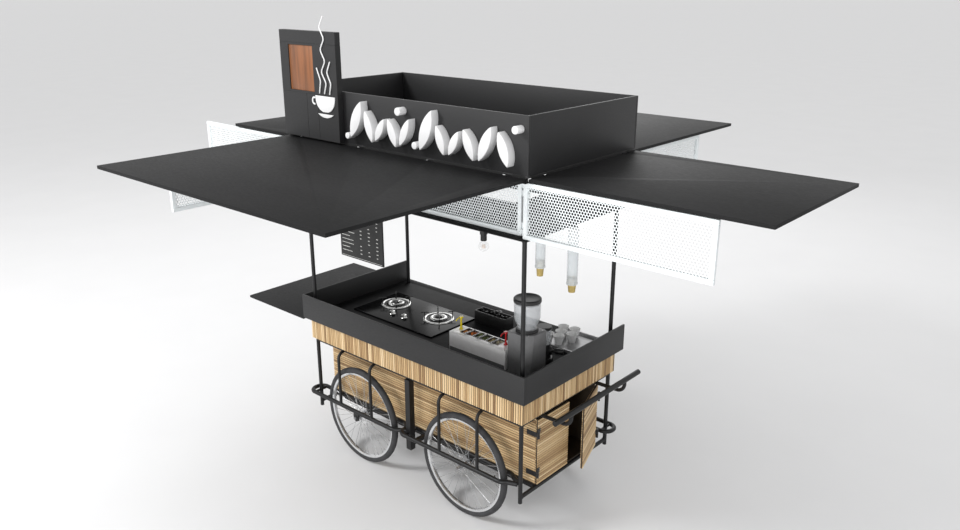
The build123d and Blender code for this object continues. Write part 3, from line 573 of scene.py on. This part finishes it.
PIT = 0.0158
def cab(b):
    z0, z1 = 318, 742
    H = (z1 - z0) / 1000
    # backing boards
    b.box(X(-905, -294, 307), X(885, 294, 317), 1, c=0.0015)
    b.box(X(-901, -294, 317.1), X(885, -286, 742), 1, c=0.001)
    b.box(X(-901, 286, 317.1), X(885, 294, 742), 1, c=0.001)
    b.box(X(-901, -285.9, 317.1), X(-893, 285.9, 742), 1, c=0.001)
    slats(b, X(-905, -293.8, z0), (1, 0, 0), (0, 0, 1), (0, -1, 0), 1.79, H, PIT, 0.0042, 24, 0)
    slats(b, X(-905, 293.8, z0), (1, 0, 0), (0, 0, 1), (0, 1, 0), 1.79, H, PIT, 0.0042, 24, 0)
    slats(b, X(-900.8, -293.6, z0), (0, 1, 0), (0, 0, 1), (-1, 0, 0), 0.5872, H, PIT, 0.0042, 10, 2)
    # top rim; the corner trims are switched off
    for sy in (-1, 1):
        b.box(X(871, min(sy * 294.5, sy * 298), 317), X(885, max(sy * 294.5, sy * 298), 742), 3, c=0.0006) if False else None
        b.box(X(-905, min(sy * 286, sy * 298), 742.1), X(885, max(sy * 286, sy * 298), 745), 3, c=0.0008)
    b.box(X(-905, -285.8, 742.1), X(-893, 285.8, 745), 3, c=0.0008)


wall_piece("cabinet-slats", "cart", cab, [M["slat_x"], M["back_x"], M["slat_y"], M["edge"]], "cabinet_shell")


def door_piece(node, body, sy, rest):
    b = B()
    z0, z1 = 318, 738
    H = (z1 - z0) / 1000
    y0, y1 = (1.0, 297.0) if sy > 0 else (-297.0, -1.0)
    b.box(X(891, y0, z0), X(901, y1, z1), 1, c=0.001)
    slats(b, X(900.8, y0, z0), (0, 1, 0), (0, 0, 1), (1, 0, 0), 0.296, H, PIT, 0.0042, 8, 0)
    slats(b, X(891.2, y0, z0), (0, 1, 0), (0, 0, 1), (-1, 0, 0), 0.296, H, PIT, 0.0036, 6, 0)
    # hinge knuckles and strap, screws
    for z in (400, 656):
        b.lathe([(0.00305, 0.0), (0.0066, 0.0), (0.007, 0.0006), (0.007, 0.0289), (0.0066, 0.0295), (0.00305, 0.0295)], 28, X(912, sy * 303, z + 0.5), mi=2, closed=True)
        ya, yb = (279, 297.5) if sy > 0 else (-297.5, -279)
        b.box(X(905.2, ya, z + 1), X(907.4, yb, z + 29.5), 2, c=0.0005)
        for k in (7.5, 22.5):
            b.lathe([(0.0001, 0.0), (0.0032, 0.0), (0.0028, 0.0010), (0.0012, 0.0014), (0.0001, 0.0010)], 16, X(907.3, sy * 286.5, z + k), axis="x", mi=3)
    if rest:
        piv = X(912, 303, 0); a = math.radians(rest); cc, ss = math.cos(a), math.sin(a)
        for i, V in enumerate(b.v):
            d = V - piv
            b.v[i] = np.stack([piv[0] + cc * d[:, 0] - ss * d[:, 1], piv[1] + ss * d[:, 0] + cc * d[:, 1], V[:, 2]], 1)
    o = b.make(node.replace("_", "-") + "-slats", [M["slat_y"], M["back_x"], M["hinge_steel"], M["axle_steel"]], body, tones=True, angle=40)
    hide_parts(node)


door_piece("cabinet_door_front", "door_front", -1, 0)
door_piece("cabinet_door_back", "door_back", 1, 19.5)


def band(b):
    z0, H = 773.3, 0.1452
    for sy in (-1, 1):
        n = 112; pt = 1.83 / n
        b.box(X(-913, min(sy * 447, sy * 453), 773), X(913, max(sy * 447, sy * 453), 918.8), 1, c=0.001)
        for i in range(n):
            wd = pt - rng.uniform(0.0036, 0.0054)
            b.prism(slat_prof(wd, 0.0058 * rng.uniform(0.82, 1.0)), (0, 0, 1), (1, 0, 0), (0, sy, 0), X(-915, sy * 452.8, z0 + rng.uniform(-0.3, 0.3)) + np.array([pt * (i + 0.5), 0, 0]), H - 0.0003, 4, 0, float(np.clip(rng.normal(0.52, 0.24), 0, 1)))
    for sx in (-1, 1):
        n = 56; pt = 0.894 / n
        b.box(X(min(sx * 903, sx * 909), -446.8, 773), X(max(sx * 903, sx * 909), 446.8, 918.8), 1, c=0.001)
        for i in range(n):
            wd = pt - rng.uniform(0.0036, 0.0054)
            b.prism(slat_prof(wd, 0.0058 * rng.uniform(0.82, 1.0)), (0, 0, 1), (0, 1, 0), (sx, 0, 0), X(sx * 908.8, -447, z0 + rng.uniform(-0.3, 0.3)) + np.array([0, pt * (i + 0.5), 0]), H - 0.0003, 4, 0, float(np.clip(rng.normal(0.52, 0.24), 0, 1)))


wall_piece("band-strips", "cart", band, [M["slat_z"], M["back_x"]], "counter_band")

# ------------------------------------------------------------------ boards
bevelled("counter_apron", M["apron"], 0.0018, 2)
bevelled("countertop", M["top"], 0.0012, 2)
bevelled("canopy_box", M["canopy"], 0.0022, 2)
if "ceiling_boards" in N:
    bevelled("ceiling_boards", M["ceiling"], 0.001, 2)
for n in ("roof_flap_front", "roof_flap_back", "roof_flap_right", "roof_flap_left"):
    bevelled(n, M["flap"], 0.0022, 2)
bevelled("side_shelf", M["flap"], 0.002, 2)
bevelled("sign_inset", M["signwood"], 0.0012, 2)
bevelled("front_ornaments", M["white"], 0.0035, 3, angle=40)
bevelled("sign_icon", M["icon"], 0.0008, 2, angle=50)
bevelled("menu_board", M["menu"], 0.001, 2)
bevelled("condiment_box", M["cond"], 0.0016, 2)
bevelled("grinder_body", M["grinder"], 0.002, 2)
tr = bevelled("counter_trays", M["tray"], 0.0006, 2, extra=(M["black"],))
for f_ in tr.data.polygons:
    if f_.center.x < SX + 0.3:
        f_.material_index = 1
bevelled("rail_brackets", M["black"], 0.0008, 2)

# sign board with two fine grooves in its lower half
s = B()
zs = 2173
cuts = [-936, -703, -600, -418]
for a, c2 in zip(cuts[:-1], cuts[1:]):
    s.box(X(a + (0.8 if a > -936 else 0), -533, 2173), X(c2 - (0.8 if c2 < -418 else 0), -493, 2440), 0, c=0.0015)
s.box(X(-936, -533, 2440.2), X(-857, -493, 2728), 0, c=0.001)
s.box(X(-627, -533, 2440.2), X(-418, -493, 2728), 0, c=0.001)
s.box(X(-856.8, -533, 2440.2), X(-627.2, -493, 2452), 0, c=0.001)
s.box(X(-856.8, -517, 2452.1), X(-627.2, -493, 2715.9), 0, c=0.001)
s.box(X(-856.8, -533, 2716), X(-627.2, -493, 2728), 0, c=0.001)
s.box(X(-936, -533, 2728.1), X(-418, -493, 2799), 0, c=0.0015)
o = s.make("sign-board-panels", [M["canopy"]], "cart")
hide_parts("sign_board")


# dark weather strip below the gap between roof box and flaps, in runs between the hinge tabs
k = B()
def runs(edges):
    out = []
    for a, b_ in zip(edges[:-1], edges[1:]):
        out.append((a, b_))
    return out
for sy in (-1, 1):
    ya, yb = sorted((sy * 484.0, sy * 508.0))
    k.box(X(-948, ya, 2136.8), X(948, yb, 2139.0), 0, c=0.0005)
    for a, b_ in ((-930, -850), (-790, -310), (-250, 250), (310, 790), (850, 930)):
        y1_, y2_ = sorted((sy * 492.9, sy * 494.1))
        k.box(X(a, y1_, 2138.8), X(b_, y2_, 2172), 0, c=0.0004)
for sx in (-1, 1):
    xa, xb = sorted((sx * 948.5, sx * 966.0))
    k.box(X(xa, -483.5, 2136.8), X(xb, 483.5, 2139.0), 0, c=0.0005)
    for a, b_ in ((-470, -410), (-350, 350), (410, 470)):
        x1_, x2_ = sorted((sx * 950.4, sx * 951.6))
        k.box(X(x1_, a, 2138.8), X(x2_, b_, 2172), 0, c=0.0004)
k.make("roof-weather-strip", [M["edge"]], "cart")

# ------------------------------------------------------------------ perforated leaves
def hexsheet(b, L, H, pitch, hole, th, place):
    """a sheet L by H with round holes on a triangular grid; place maps (a, z, t) to space"""
    rows = int(H / (pitch * 0.8660254)) + 1
    cols = int(L / pitch) + 1
    hx = pitch / 2; rr = pitch / math.sqrt(3)
    outer = []
    for k in range(12):
        a = math.pi / 6 * k
        if k % 2:
            outer.append((rr * math.cos(a), rr * math.sin(a)))
        else:
            outer.append((hx * math.cos(a), hx * math.sin(a)))
    # corners of a pointy-top hexagon sit at 30, 90, ... degrees
    outer = np.array(outer)
    inner = np.array([(hole * math.cos(math.pi / 6 * k), hole * math.sin(math.pi / 6 * k)) for k in range(12)])
    cell = np.concatenate([outer, inner])
    cent = []
    for j in range(rows):
        z = (j + 0.5) * (H / rows)
        for i in range(cols):
            cent.append(((i + 0.5 + (0.5 if j % 2 else 0)) * pitch - 0.25 * pitch, (j + 0.5) * pitch * 0.8660254))
    cent = np.array(cent)
    cent[:, 0] += (L - cent[:, 0].max() - cent[:, 0].min()) / 2
    cent[:, 1] += (H - cent[:, 1].max() - cent[:, 1].min()) / 2
    P = (cent[:, None, :] + cell[None, :, :]).reshape(-1, 2)
    key = np.round(P, 5)
    uq, inv = np.unique(key, axis=0, return_inverse=True)
    inv = inv.reshape(-1)
    quads = []
    for c in range(len(cent)):
        o = c * 24
        for k in range(12):
            k2 = (k + 1) % 12
            quads.append((inv[o + k], inv[o + k2], inv[o + 12 + k2], inv[o + 12 + k]))
    quads = np.array(quads)
    nU = len(uq)
    e = np.concatenate([quads[:, [0, 1]], quads[:, [1, 2]], quads[:, [2, 3]], quads[:, [3, 0]]])
    es = np.sort(e, 1)
    code = es[:, 0].astype(np.int64) * nU + es[:, 1]
    u, idx, cnt = np.unique(code, return_index=True, return_counts=True)
    edge = e[idx[cnt == 1]]
    top = [place(a, z, th / 2) for a, z in uq]
    bot = [place(a, z, -th / 2) for a, z in uq]
    V = np.array(top + bot)
    f = [tuple(q) for q in quads] + [tuple(q[::-1] + nU) for q in quads] + [(int(q[1]), int(q[0]), int(q[0]) + nU, int(q[1]) + nU) for q in edge]
    b.add(V, f, 0)


def leaf(node, body, px, py, deg, start, length, off, bands):
    b = B()
    a = math.radians(deg); ca, sa = math.cos(a), math.sin(a)
    O = X(px, py, 0)

    def loc(x, y, z):
        return np.array([O[0] + (ca * x - sa * y) / 1000, O[1] + (sa * x + ca * y) / 1000, z / 1000])

    z0, z1 = 1842.0, 2135.0
    bars = []
    t = 10.0
    bars.append(((start, off - t, z0), (start + length, off + t, z0 + 25)))
    bars.append(((start, off - t, z1 - 25), (start + length, off + t, z1)))
    bars.append(((start, off - t, z0 + 25.05), (start + 25, off + t, z1 - 25.05)))
    bars.append(((start + length - 25, off - t, z0 + 25.05), (start + length, off + t, z1 - 25.05)))
    n0 = len(b.v)
    for lo, hi in bars:
        k = B(); k.box(np.array(lo) / 1000, np.array(hi) / 1000, 0, c=0.0022)
        V = k.v[0] * 1000
        b.add([loc(*p) for p in V], k.f, 0)
    for q0, q1 in bands:
        k = B(); k.lathe([(12.55, q0), (16.4, q0), (17.0, q0 + 0.8), (17.0, q1 - 0.8), (16.4, q1), (12.55, q1)], 36, (0, 0, 0), closed=True)
        b.add([loc(*p) for p in k.v[0]], k.f, 0)
        if off:
            s_ = 1 if off > 0 else -1
            for lo, hi in (((15.5, min(0, s_ * 8) if s_ < 0 else 0, q0), (start + 12, 0 if s_ < 0 else s_ * 8, q1)), ((start, min(s_ * 8.1, off), q0), (start + 12, max(s_ * 8.1, off), q1))):
                k = B(); k.box(np.array(lo) / 1000, np.array(hi) / 1000, 0, c=0.0008)
                b.add([loc(*p) for p in k.v[0] * 1000], k.f, 0)
        else:
            k = B(); k.box(np.array((15.8, -6, q0)) / 1000, np.array((start + 2, 6, q1)) / 1000, 0, c=0.0008)
            b.add([loc(*p) for p in k.v[0] * 1000], k.f, 0)
    L = (length - 2 * 20) / 1000; H = (z1 - z0 - 2 * 20) / 1000
    hexsheet(b, L, H, 0.0165, 0.0066, 0.0014, lambda aa, zz, tt: loc(start + 20 + aa * 1000, off + tt * 1000, z0 + 20 + zz * 1000))
    bm = B()
    o = b.make(node.replace("_", "-") + "-perforated", [M["mesh_white"]], body, angle=30)
    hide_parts(node)


BA = [(1850, 1880), (2096, 2126)]
BB = [(1888, 1918), (2056, 2086)]
leaf("mesh_leaf_front_left", "leaf_front_left", -888, -431, -90, 49, 891, 0, BA)
leaf("mesh_leaf_front_right", "leaf_front_right", 888, -431, 180, 19, 805, 0, BA)
leaf("mesh_leaf_right", "leaf_right", 888, -431, 0, 19, 1040, -34, BB)
leaf("mesh_leaf_left", "leaf_left", -888, -431, 180, 19, 1040, 34, BB)
leaf("mesh_leaf_back_right", "leaf_back_right", 888, 431, 90, 49, 891, 0, BA)
leaf("mesh_leaf_back_left", "leaf_back_left", -888, 431, 0, 19, 805, 0, BA)

# ------------------------------------------------------------------ hob
bevelled("hob_glass", M["hob"], 0.0012, 2)
h = B()
GZ = 943.1
for x, y in ((-619, 52), (-208, 52)):
    c = X(x, y, GZ)
    h.lathe([(0.0845, 0.0), (0.1025, 0.0), (0.103, 0.002), (0.1015, 0.0055), (0.0985, 0.0070), (0.0875, 0.0064), (0.0845, 0.0045)], 96, c, mi=0, closed=True)
    h.lathe([(0.066, 0.0), (0.080, 0.0), (0.080, 0.0016), (0.066, 0.0022)], 96, c, mi=1, closed=True)
    h.lathe([(0.034, 0.0), (0.058, 0.0), (0.058, 0.009), (0.0545, 0.0135), (0.050, 0.0150), (0.040, 0.0150), (0.0362, 0.0125), (0.034, 0.009)], 96, c, mi=0, closed=True)
    for i in range(40):
        a = 2 * math.pi * i / 40
        d = np.array([math.cos(a), math.sin(a), 0])
        h.rod(c + d * 0.0575 + (0, 0, 0.006), c + d * 0.0598 + (0, 0, 0.0066), 0.0014, 6, mi=1)
    h.lathe([(0.0001, 0.0), (0.0255, 0.0), (0.0262, 0.006), (0.0252, 0.014), (0.0215, 0.0185), (0.012, 0.0212), (0.0001, 0.0220)], 64, c, mi=1)
    h.lathe([(0.0268, 0.0), (0.0300, 0.0), (0.0300, 0.0105), (0.0285, 0.0122), (0.0268, 0.0105)], 64, c, mi=0, closed=True)
    h.rod(c + (0.030, 0.010, 0), c + (0.030, 0.010, 0.017), 0.0013, 8, mi=2)
o = h.make("hob-burner-rings", [M["burner"], M["burner_dark"], M["white"]], "cart")
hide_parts("hob_burners")
h = B()
for x, y in ((-619, 52), (-208, 52)):
    c = X(x, y, GZ)
    for k in range(4):
        a = math.radians(47 + 90 * k)
        d = np.array([math.cos(a), math.sin(a), 0]); z = np.array([0, 0, 1.0])
        h.rod(c + d * 0.0925 + z * 0.0066, c + d * 0.0925 + z * 0.0470, 0.0030, 10)
        h.path([c + d * 0.0665 + z * 0.0462, c + d * 0.0690 + z * 0.0486, c + d * 0.0740 + z * 0.0490, c + d * 0.0925 + z * 0.0490, c + d * 0.111 + z * 0.0490, c + d * 0.1160 + z * 0.0486, c + d * 0.1180 + z * 0.0462], 0.0029, 10)
        h.rod(c + d * 0.0925 + z * 0.0064, c + d * 0.0925 + z * 0.0092, 0.0058, 12)
o = h.make("pan-support-wires", [M["support"]], "cart")
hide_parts("pan_supports")
for side, x in (("left", -505), ("right", -393)):
    k = B(); c = X(x, -90, GZ + 0.4)
    segs = 60; V = []; prof = [(0.0001, 0), (0.0212, 0), (0.0214, 0.002), (0.0200, 0.0040), (0.0186, 0.006), (0.0178, 0.018), (0.0165, 0.0212), (0.0140, 0.0224), (0.0001, 0.0226)]
    for i in range(segs):
        t = 2 * math.pi * i / segs
        for (r, z) in prof:
            rr = r + (0.0006 * math.cos(20 * t) if 0.0165 < r < 0.0188 else 0)
            V.append((rr * math.cos(t), rr * math.sin(t), z))
    n = len(prof); f = []
    for i in range(segs):
        i2 = (i + 1) % segs
        for j in range(n - 1):
            f.append((i * n + j, i2 * n + j, i2 * n + j + 1, i * n + j + 1))
    f.append(tuple(i * n for i in range(segs))[::-1]); f.append(tuple(i * n + n - 1 for i in range(segs)))
    k.add(np.array(V) + c, f)
    k.box(c + (-0.0028, -0.0165, 0.0215), c + (0.0028, 0.0165, 0.0275), 0, c=0.0012)
    k.box(c + (-0.0008, -0.0158, 0.0272), c + (0.0008, -0.0040, 0.0277), 1)
    o = k.make("knob-grip-" + side, [M["knob"], M["black"]], "knob_" + side)
    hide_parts("hob_knob_" + side)

# ------------------------------------------------------------------ condiment station
Z0 = 933.1; ZT = Z0 + 122
PANX = [(227 + 51 * i, 272 + 51 * i) for i in range(6)]
c = B(); fd = B()
cols = [(0.55, 0.20, 0.02), (0.60, 0.16, 0.03), (0.16, 0.19, 0.04), (0.10, 0.12, 0.03), (0.30, 0.22, 0.07), (0.42, 0.36, 0.24)]
food_m = [surface("food_%d" % i, q, 0.5, 0.0, 0.45, 70, 260, 0.4, 0.001) for i, q in enumerate(cols)]
ico = bmesh.new(); bmesh.ops.create_icosphere(ico, subdivisions=2, radius=1.0)
IV = np.array([v.co[:] for v in ico.verts]); IF = [tuple(v.index for v in f.verts) for f in ico.faces]; ico.free()
for i, (a, b_) in enumerate(PANX):
    y0, y1 = -243 + 34.5, -118 - 12.5
    # thin pan: floor and four straight walls
    x0, x1 = a + 0.6, b_ - 0.6
    zt, zb = ZT + 2.5, ZT - 60
    c.box(X(x0, y0, zb), X(x1, y1, zb + 1.5), 0)
    c.box(X(x0, y0, zb + 1.6), X(x0 + 1.4, y1, zt), 0, c=0.0004)
    c.box(X(x1 - 1.4, y0, zb + 1.6), X(x1, y1, zt), 0, c=0.0004)
    c.box(X(x0 + 1.5, y0, zb + 1.6), X(x1 - 1.5, y0 + 1.4, zt), 0, c=0.0004)
    c.box(X(x0 + 1.5, y1 - 1.4, zb + 1.6), X(x1 - 1.5, y1, zt), 0, c=0.0004)
    # heap of cut pieces
    for k in range(64):
        r = rng.uniform(4.2, 8.0)
        px_, py_ = rng.uniform(x0 + 8, x1 - 8), rng.uniform(y0 + 8, y1 - 8)
        pz = ZT - 27 + 27 * rng.random() * (1 - abs((py_ - (y0 + y1) / 2) / 60) ** 2)
        s3 = rng.uniform(0.55, 1.15, 3) * r / 1000
        R3 = np.array(Matrix.Rotation(rng.uniform(0, 6), 3, Vector(rng.normal(size=3)).normalized()))
        lump = 1 + 0.16 * np.sin(IV @ rng.uniform(2, 5, 3) + rng.uniform(0, 6))
        V = (IV * lump[:, None] * s3) @ R3.T + X(px_, py_, pz)
        V[:, 0] = np.clip(V[:, 0], X(x0 + 1.6, 0, 0)[0], X(x1 - 1.6, 0, 0)[0])
        V[:, 1] = np.clip(V[:, 1], (y0 + 1.6) / 1000, (y1 - 1.6) / 1000)
        fd.add(V, IF, i)
o = c.make("condiment-pan-walls", [M["steel"]], "cart")
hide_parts("condiment_pans")
fd.make("condiment-food", food_m, "cart", angle=60)
# grey plinth and serving tongs on the station
c = B()
c.box(X(172, -244.2, Z0 + 0.2), X(604, -242.9, Z0 + 28), 0, c=0.0003)
for i in range(3):
    xx = 268 + 102 * i
    p0 = X(xx, -226, ZT + 5); p1 = X(xx + 14, -138, ZT + 9)
    c.rod(p0, p1, 0.0026, 10, mi=1)
    c.rod(p0 + (0.012, 0, 0), p1 + (0.004, 0, 0), 0.0026, 10, mi=1)
for x in (186, 586):
    for y in (-228, -134):
        c.lathe([(0.0001, 0), (0.006, 0), (0.0055, 0.0012), (0.0001, 0.0018)], 20, X(x, y, ZT + 0.05), mi=1)
c.make("condiment-trim", [M["steel_plate"], M["steel"]], "cart")
for nm, x, mt in (("yellow", 201, "yellow"), ("red", 555, "red")):
    k = B(); p = X(x, -170, ZT)
    k.lathe([(0.0001, -0.034), (0.0079, -0.034), (0.0079, 0.0142), (0.0074, 0.0158), (0.0056, 0.0164), (0.0050, 0.070), (0.0070, 0.0725), (0.0132, 0.0740), (0.0136, 0.0805), (0.0126, 0.0832), (0.0095, 0.0839), (0.0001, 0.0840)], 40, p)
    pts = [p + (0, 0, 0.0785), p + (0, -0.014, 0.0792), p + (0, -0.027, 0.0785), p + (0, -0.036, 0.0765), p + (0, -0.042, 0.0722), p + (0, -0.0462, 0.0662)]
    k.path(pts, [0.0048, 0.0046, 0.0043, 0.0040, 0.0037, 0.0034], 14)
    q = B()
    q.lathe([(0.0084, 0.0003), (0.0118, 0.0003), (0.0121, 0.0014), (0.0112, 0.0040), (0.0092, 0.0052), (0.0084, 0.0048)], 36, p, closed=True)
    q.make("pump-collar-" + nm, [M[mt]], "cart")
    o = k.make("pump-head-" + nm, [M[mt]], nm + "_pump")
    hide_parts("pump_" + nm)

# ------------------------------------------------------------------ grinder
HZ = Z0 + 282.1
k = B(); p = X(720, -182, HZ)
outer = [(0.047, 0.0), (0.050, 0.0), (0.0505, 0.003), (0.0625, 0.030), (0.0740, 0.060), (0.0755, 0.075), (0.0764, 0.110), (0.0770, 0.1560), (0.0764, 0.158)]
inner = [(0.0738, 0.158), (0.0730, 0.110), (0.0721, 0.075), (0.0704, 0.061), (0.0590, 0.031), (0.0474, 0.0045)]
k.lathe(outer + inner, 72, p, closed=True)
o = k.make("hopper-shell", [M["clearp"]], "cart"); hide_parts("grinder_hopper")
k = B()
k.lathe([(0.0001, -0.010), (0.0724, -0.010), (0.0725, 0.0003), (0.0792, 0.0006), (0.0800, 0.003), (0.0794, 0.018), (0.0755, 0.0225), (0.0700, 0.0235), (0.0660, 0.0222), (0.0001, 0.0222)], 72, p + (0, 0, 0.1585))
o = k.make("hopper-lid", [M["black"]], "grinder_cover"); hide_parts("grinder_lid")
k = B()
k.lathe([(0.0585, -0.0200), (0.0640, -0.0200), (0.0645, -0.0140), (0.0640, -0.0035), (0.0600, -0.0010), (0.0585, -0.0010)], 60, p, closed=True)
for i in range(48):
    a = 2 * math.pi * i / 48
    d = np.array([math.cos(a), math.sin(a), 0])
    k.rod(p + d * 0.0641 + (0, 0, -0.018), p + d * 0.0641 + (0, 0, -0.006), 0.0015, 6)
for sx in (-1, 1):
    for sy in (-1, 1):
        k.lathe([(0.0001, 0.0), (0.0042, 0.0), (0.0036, 0.0014), (0.0001, 0.0020)], 16, X(720 + sx * 62 - (8 if sx > 0 and sy < 0 else 0), -182 + sy * 62 + (8 if sx > 0 and sy < 0 else 0), 1195.1), mi=1)
k.make("grinder-trim", [M["black"], M["steel"]], "cart")
# doser
p = X(690, 20, Z0)
bevelled("doser_base", M["black"], 0.0012, 2)
k = B()
k.lathe([(0.0385, 0.1133), (0.0408, 0.1105), (0.0412, 0.1115), (0.0440, 0.2025), (0.0436, 0.204), (0.0415, 0.204), (0.0388, 0.1145)], 60, p, closed=True)
o = k.make("doser-shell", [M["clearp"]], "cart"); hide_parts("doser_jar")
k = B()
k.lathe([(0.0001, 0.196), (0.0403, 0.196), (0.0404, 0.2046), (0.0462, 0.2048), (0.0470, 0.207), (0.0462, 0.2165), (0.0430, 0.2195), (0.0001, 0.2200)], 60, p)
o = k.make("doser-cap", [M["black"]], "doser_cover"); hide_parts("doser_lid")

# ------------------------------------------------------------------ cups
k = B()
for x, y in [(553, 250), (625, 262), (591, 330), (669, 340), (560, 400), (640, 412)]:
    q = X(x, y, Z0 + 4.1)
    k.lathe([(0.0001, 0.0015), (0.0175, 0.0012), (0.0190, 0.0), (0.0212, 0.0), (0.0222, 0.004), (0.0270, 0.022), (0.0325, 0.045), (0.0358, 0.0572), (0.0352, 0.0580), (0.0340, 0.0576), (0.0308, 0.045), (0.0254, 0.023), (0.0200, 0.0065), (0.0001, 0.0050)], 48, q)
    a = rng.uniform(0, 6.28); d = np.array([math.cos(a), math.sin(a), 0])
    pts = [q + d * (0.029 + 0.0) + (0, 0, 0.044)] + [q + d * (0.034 + 0.013 * math.sin(t)) + (0, 0, 0.031 + 0.014 * math.cos(t)) for t in np.linspace(0.25, math.pi - 0.25, 9)] + [q + d * 0.0255 + (0, 0, 0.0195)]
    k.path(pts, 0.0026, 9)
o = k.make("glazed-cups", [M["cup"]], "cart"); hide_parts("cups")
# utensils in the dark box
k = B()
for i in range(13):
    x = -1 + 18.8 * i
    k.rod(X(x, 241 + rng.uniform(-14, 14), Z0 + 12), X(x + rng.uniform(-5, 5), 232 + rng.uniform(-12, 12), Z0 + 80 + rng.uniform(0, 12)), 0.0042, 9, r2=0.0062)
k.make("utensil-handles", [M["utensil"]], "cart")

k = B()
k.lathe([(0.011, 0.0), (0.024, 0.0), (0.0245, 0.0012), (0.022, 0.0032), (0.0135, 0.0036), (0.011, 0.0020)], 40, X(-3, 429, 933.05), closed=True)
k.make("cable-grommet", [M["black"]], "cart")
# ------------------------------------------------------------------ lamps, dispensers, menu
k = B(); f2 = B()
for x in (-610, 610):
    hz = 1823 - 12.5
    q = X(x, -431, hz - 46.2 - 31)
    prof = [(0.0001, -0.029)] + [(0.029 * math.sin(t), -0.029 * math.cos(t)) for t in np.linspace(0.2, 2.72, 20)] + [(0.0112, 0.0300), (0.0108, 0.0310), (0.0001, 0.0310)]
    k.lathe(prof, 48, q)
    pts = []
    for t in np.linspace(0, 6 * 2 * math.pi, 96):
        pts.append(q + np.array([0.010 * math.cos(t), 0.010 * math.sin(t), -0.012 + 0.022 * t / (12 * math.pi)]))
    f2.path(pts, 0.00045, 6, mi=0)
    f2.lathe([(0.0118, 0.0305), (0.0150, 0.0308), (0.0155, 0.0330), (0.0118, 0.0335)], 36, q, mi=1, closed=True)
    for i in range(20):
        a = 2 * math.pi * i / 20
        d = np.array([math.cos(a), math.sin(a), 0]); q2 = X(x, -431, hz)
        f2.rod(q2 + d * 0.0162 + (0, 0, -0.044), q2 + d * 0.0162 + (0, 0, -0.016), 0.0010, 6, mi=1)
o = k.make("lamp-globes", [M["bulb"]], "cart"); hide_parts("lamp_bulbs")
f2.make("lamp-filaments", [M["wire"], M["black"]], "cart")

k = B(); s2 = B()
for x, y, r, z in ((888, -296, 27, 1596), (888, 2, 31, 1420)):
    top = 1823 - 12.5 - 16
    r /= 1000
    L = (top - z - 46) / 1000
    q = X(x, y, z + 46)
    k.lathe([(r - 0.0016, 0.0), (r - 0.0003, 0.0), (r, 0.0006), (r, L - 0.001), (r - 0.0003, L), (r - 0.0016, L)], 60, q, closed=True)
    q = X(x, y, z)
    lv = 0
    for lv in range(3):
        zz = lv * 0.0115
        s2.lathe([(r * 0.60, 0.002 + zz), (r * 0.62, 0.0 + zz), (r - 0.006, 0.056 + zz), (r - 0.0040, 0.0575 + zz), (r - 0.0040, 0.0600 + zz), (r - 0.0055, 0.0605 + zz), (r - 0.0076, 0.0570 + zz), (r * 0.60 - 0.001, 0.003 + zz)], 48, q, mi=0, closed=True)
        s2.lathe([(r - 0.0056, 0.0571 + zz), (r - 0.0036, 0.0571 + zz), (r - 0.0034, 0.0588 + zz), (r - 0.0050, 0.0612 + zz)], 48, q, mi=1, closed=True)
    s2.lathe([(0.0001, 0.0015), (r * 0.61, 0.0015), (r * 0.61, 0.0028), (0.0001, 0.0028)], 48, q, mi=0)
    k.lathe([(r, 0.0), (r + 0.0012, 0.0), (r + 0.0012, 0.010), (r, 0.010)], 60, X(x, y, z + 46), closed=True)
o = k.make("dispenser-sleeves", [M["tubep"]], "cart"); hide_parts("dispenser_tubes")
o = s2.make("paper-cup-stacks", [M["kraft"], M["cup"]], "cart"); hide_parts("dispenser_cups")

k = B()
for s_ in (-1, 1):
    y = -431 + s_ * 6.2
    ya, yb = min(y, y + s_ * 0.5), max(y, y + s_ * 0.5)
    for i in range(13):
        z = 1768 - i * 24.5
        L = rng.uniform(70, 125)
        k.box(X(-560, ya, z), X(-560 + L, yb, z + 3.4), 0)
        for j, xx in enumerate((-392, -318, -244)):
            if rng.random() < 0.86:
                k.box(X(xx, ya, z - 0.5), X(xx + rng.uniform(10, 17), yb, z + 4), 0)
    k.box(X(-568, ya, 1441), X(-200, yb, 1443), 0)
k.make("menu-lines", [M["chalk"]], "cart")

# ------------------------------------------------------------------ stage and light
def plane(name, size, z, mat):
    me = bpy.data.meshes.new(name)
    s = size / 2
    me.from_pydata([(-s, -s, z), (s, -s, z), (s, s, z), (-s, s, z)], [], [(0, 1, 2, 3)])
    me.materials.append(mat)
    o = bpy.data.objects.new(name, me); sc.collection.objects.link(o)
    return o


fl = surface("floor", (0.74, 0.74, 0.745), 0.85, 0.0, 0.01, 1.5, 60, 0.02)
plane("floor", 1200, -0.0006, fl)


def area(name, loc, target, size, power, col=(1, 1, 1)):
    l = bpy.data.lights.new(name, "AREA"); l.size = size; l.energy = power; l.color = col
    o = bpy.data.objects.new(name, l); sc.collection.objects.link(o)
    o.location = loc
    o.rotation_euler = (Vector(target) - Vector(loc)).to_track_quat("-Z", "Y").to_euler()
    return o


area("key", (-4.5, -7.0, 7.5), (0, 0, 1.2), 2.2, 540)
area("fill", (3.0, -8.0, 1.6), (0, 0, 1.0), 3.0, 280)
area("back", (-4, 6.5, 5.0), (0, 0, 1.2), 4.0, 120)
wd = bpy.data.worlds.new("world"); sc.world = wd; wd.use_nodes = True
bg = wd.node_tree.nodes["Background"]
bg.inputs[0].default_value = (1, 1, 1, 1); bg.inputs[1].default_value = 0.90
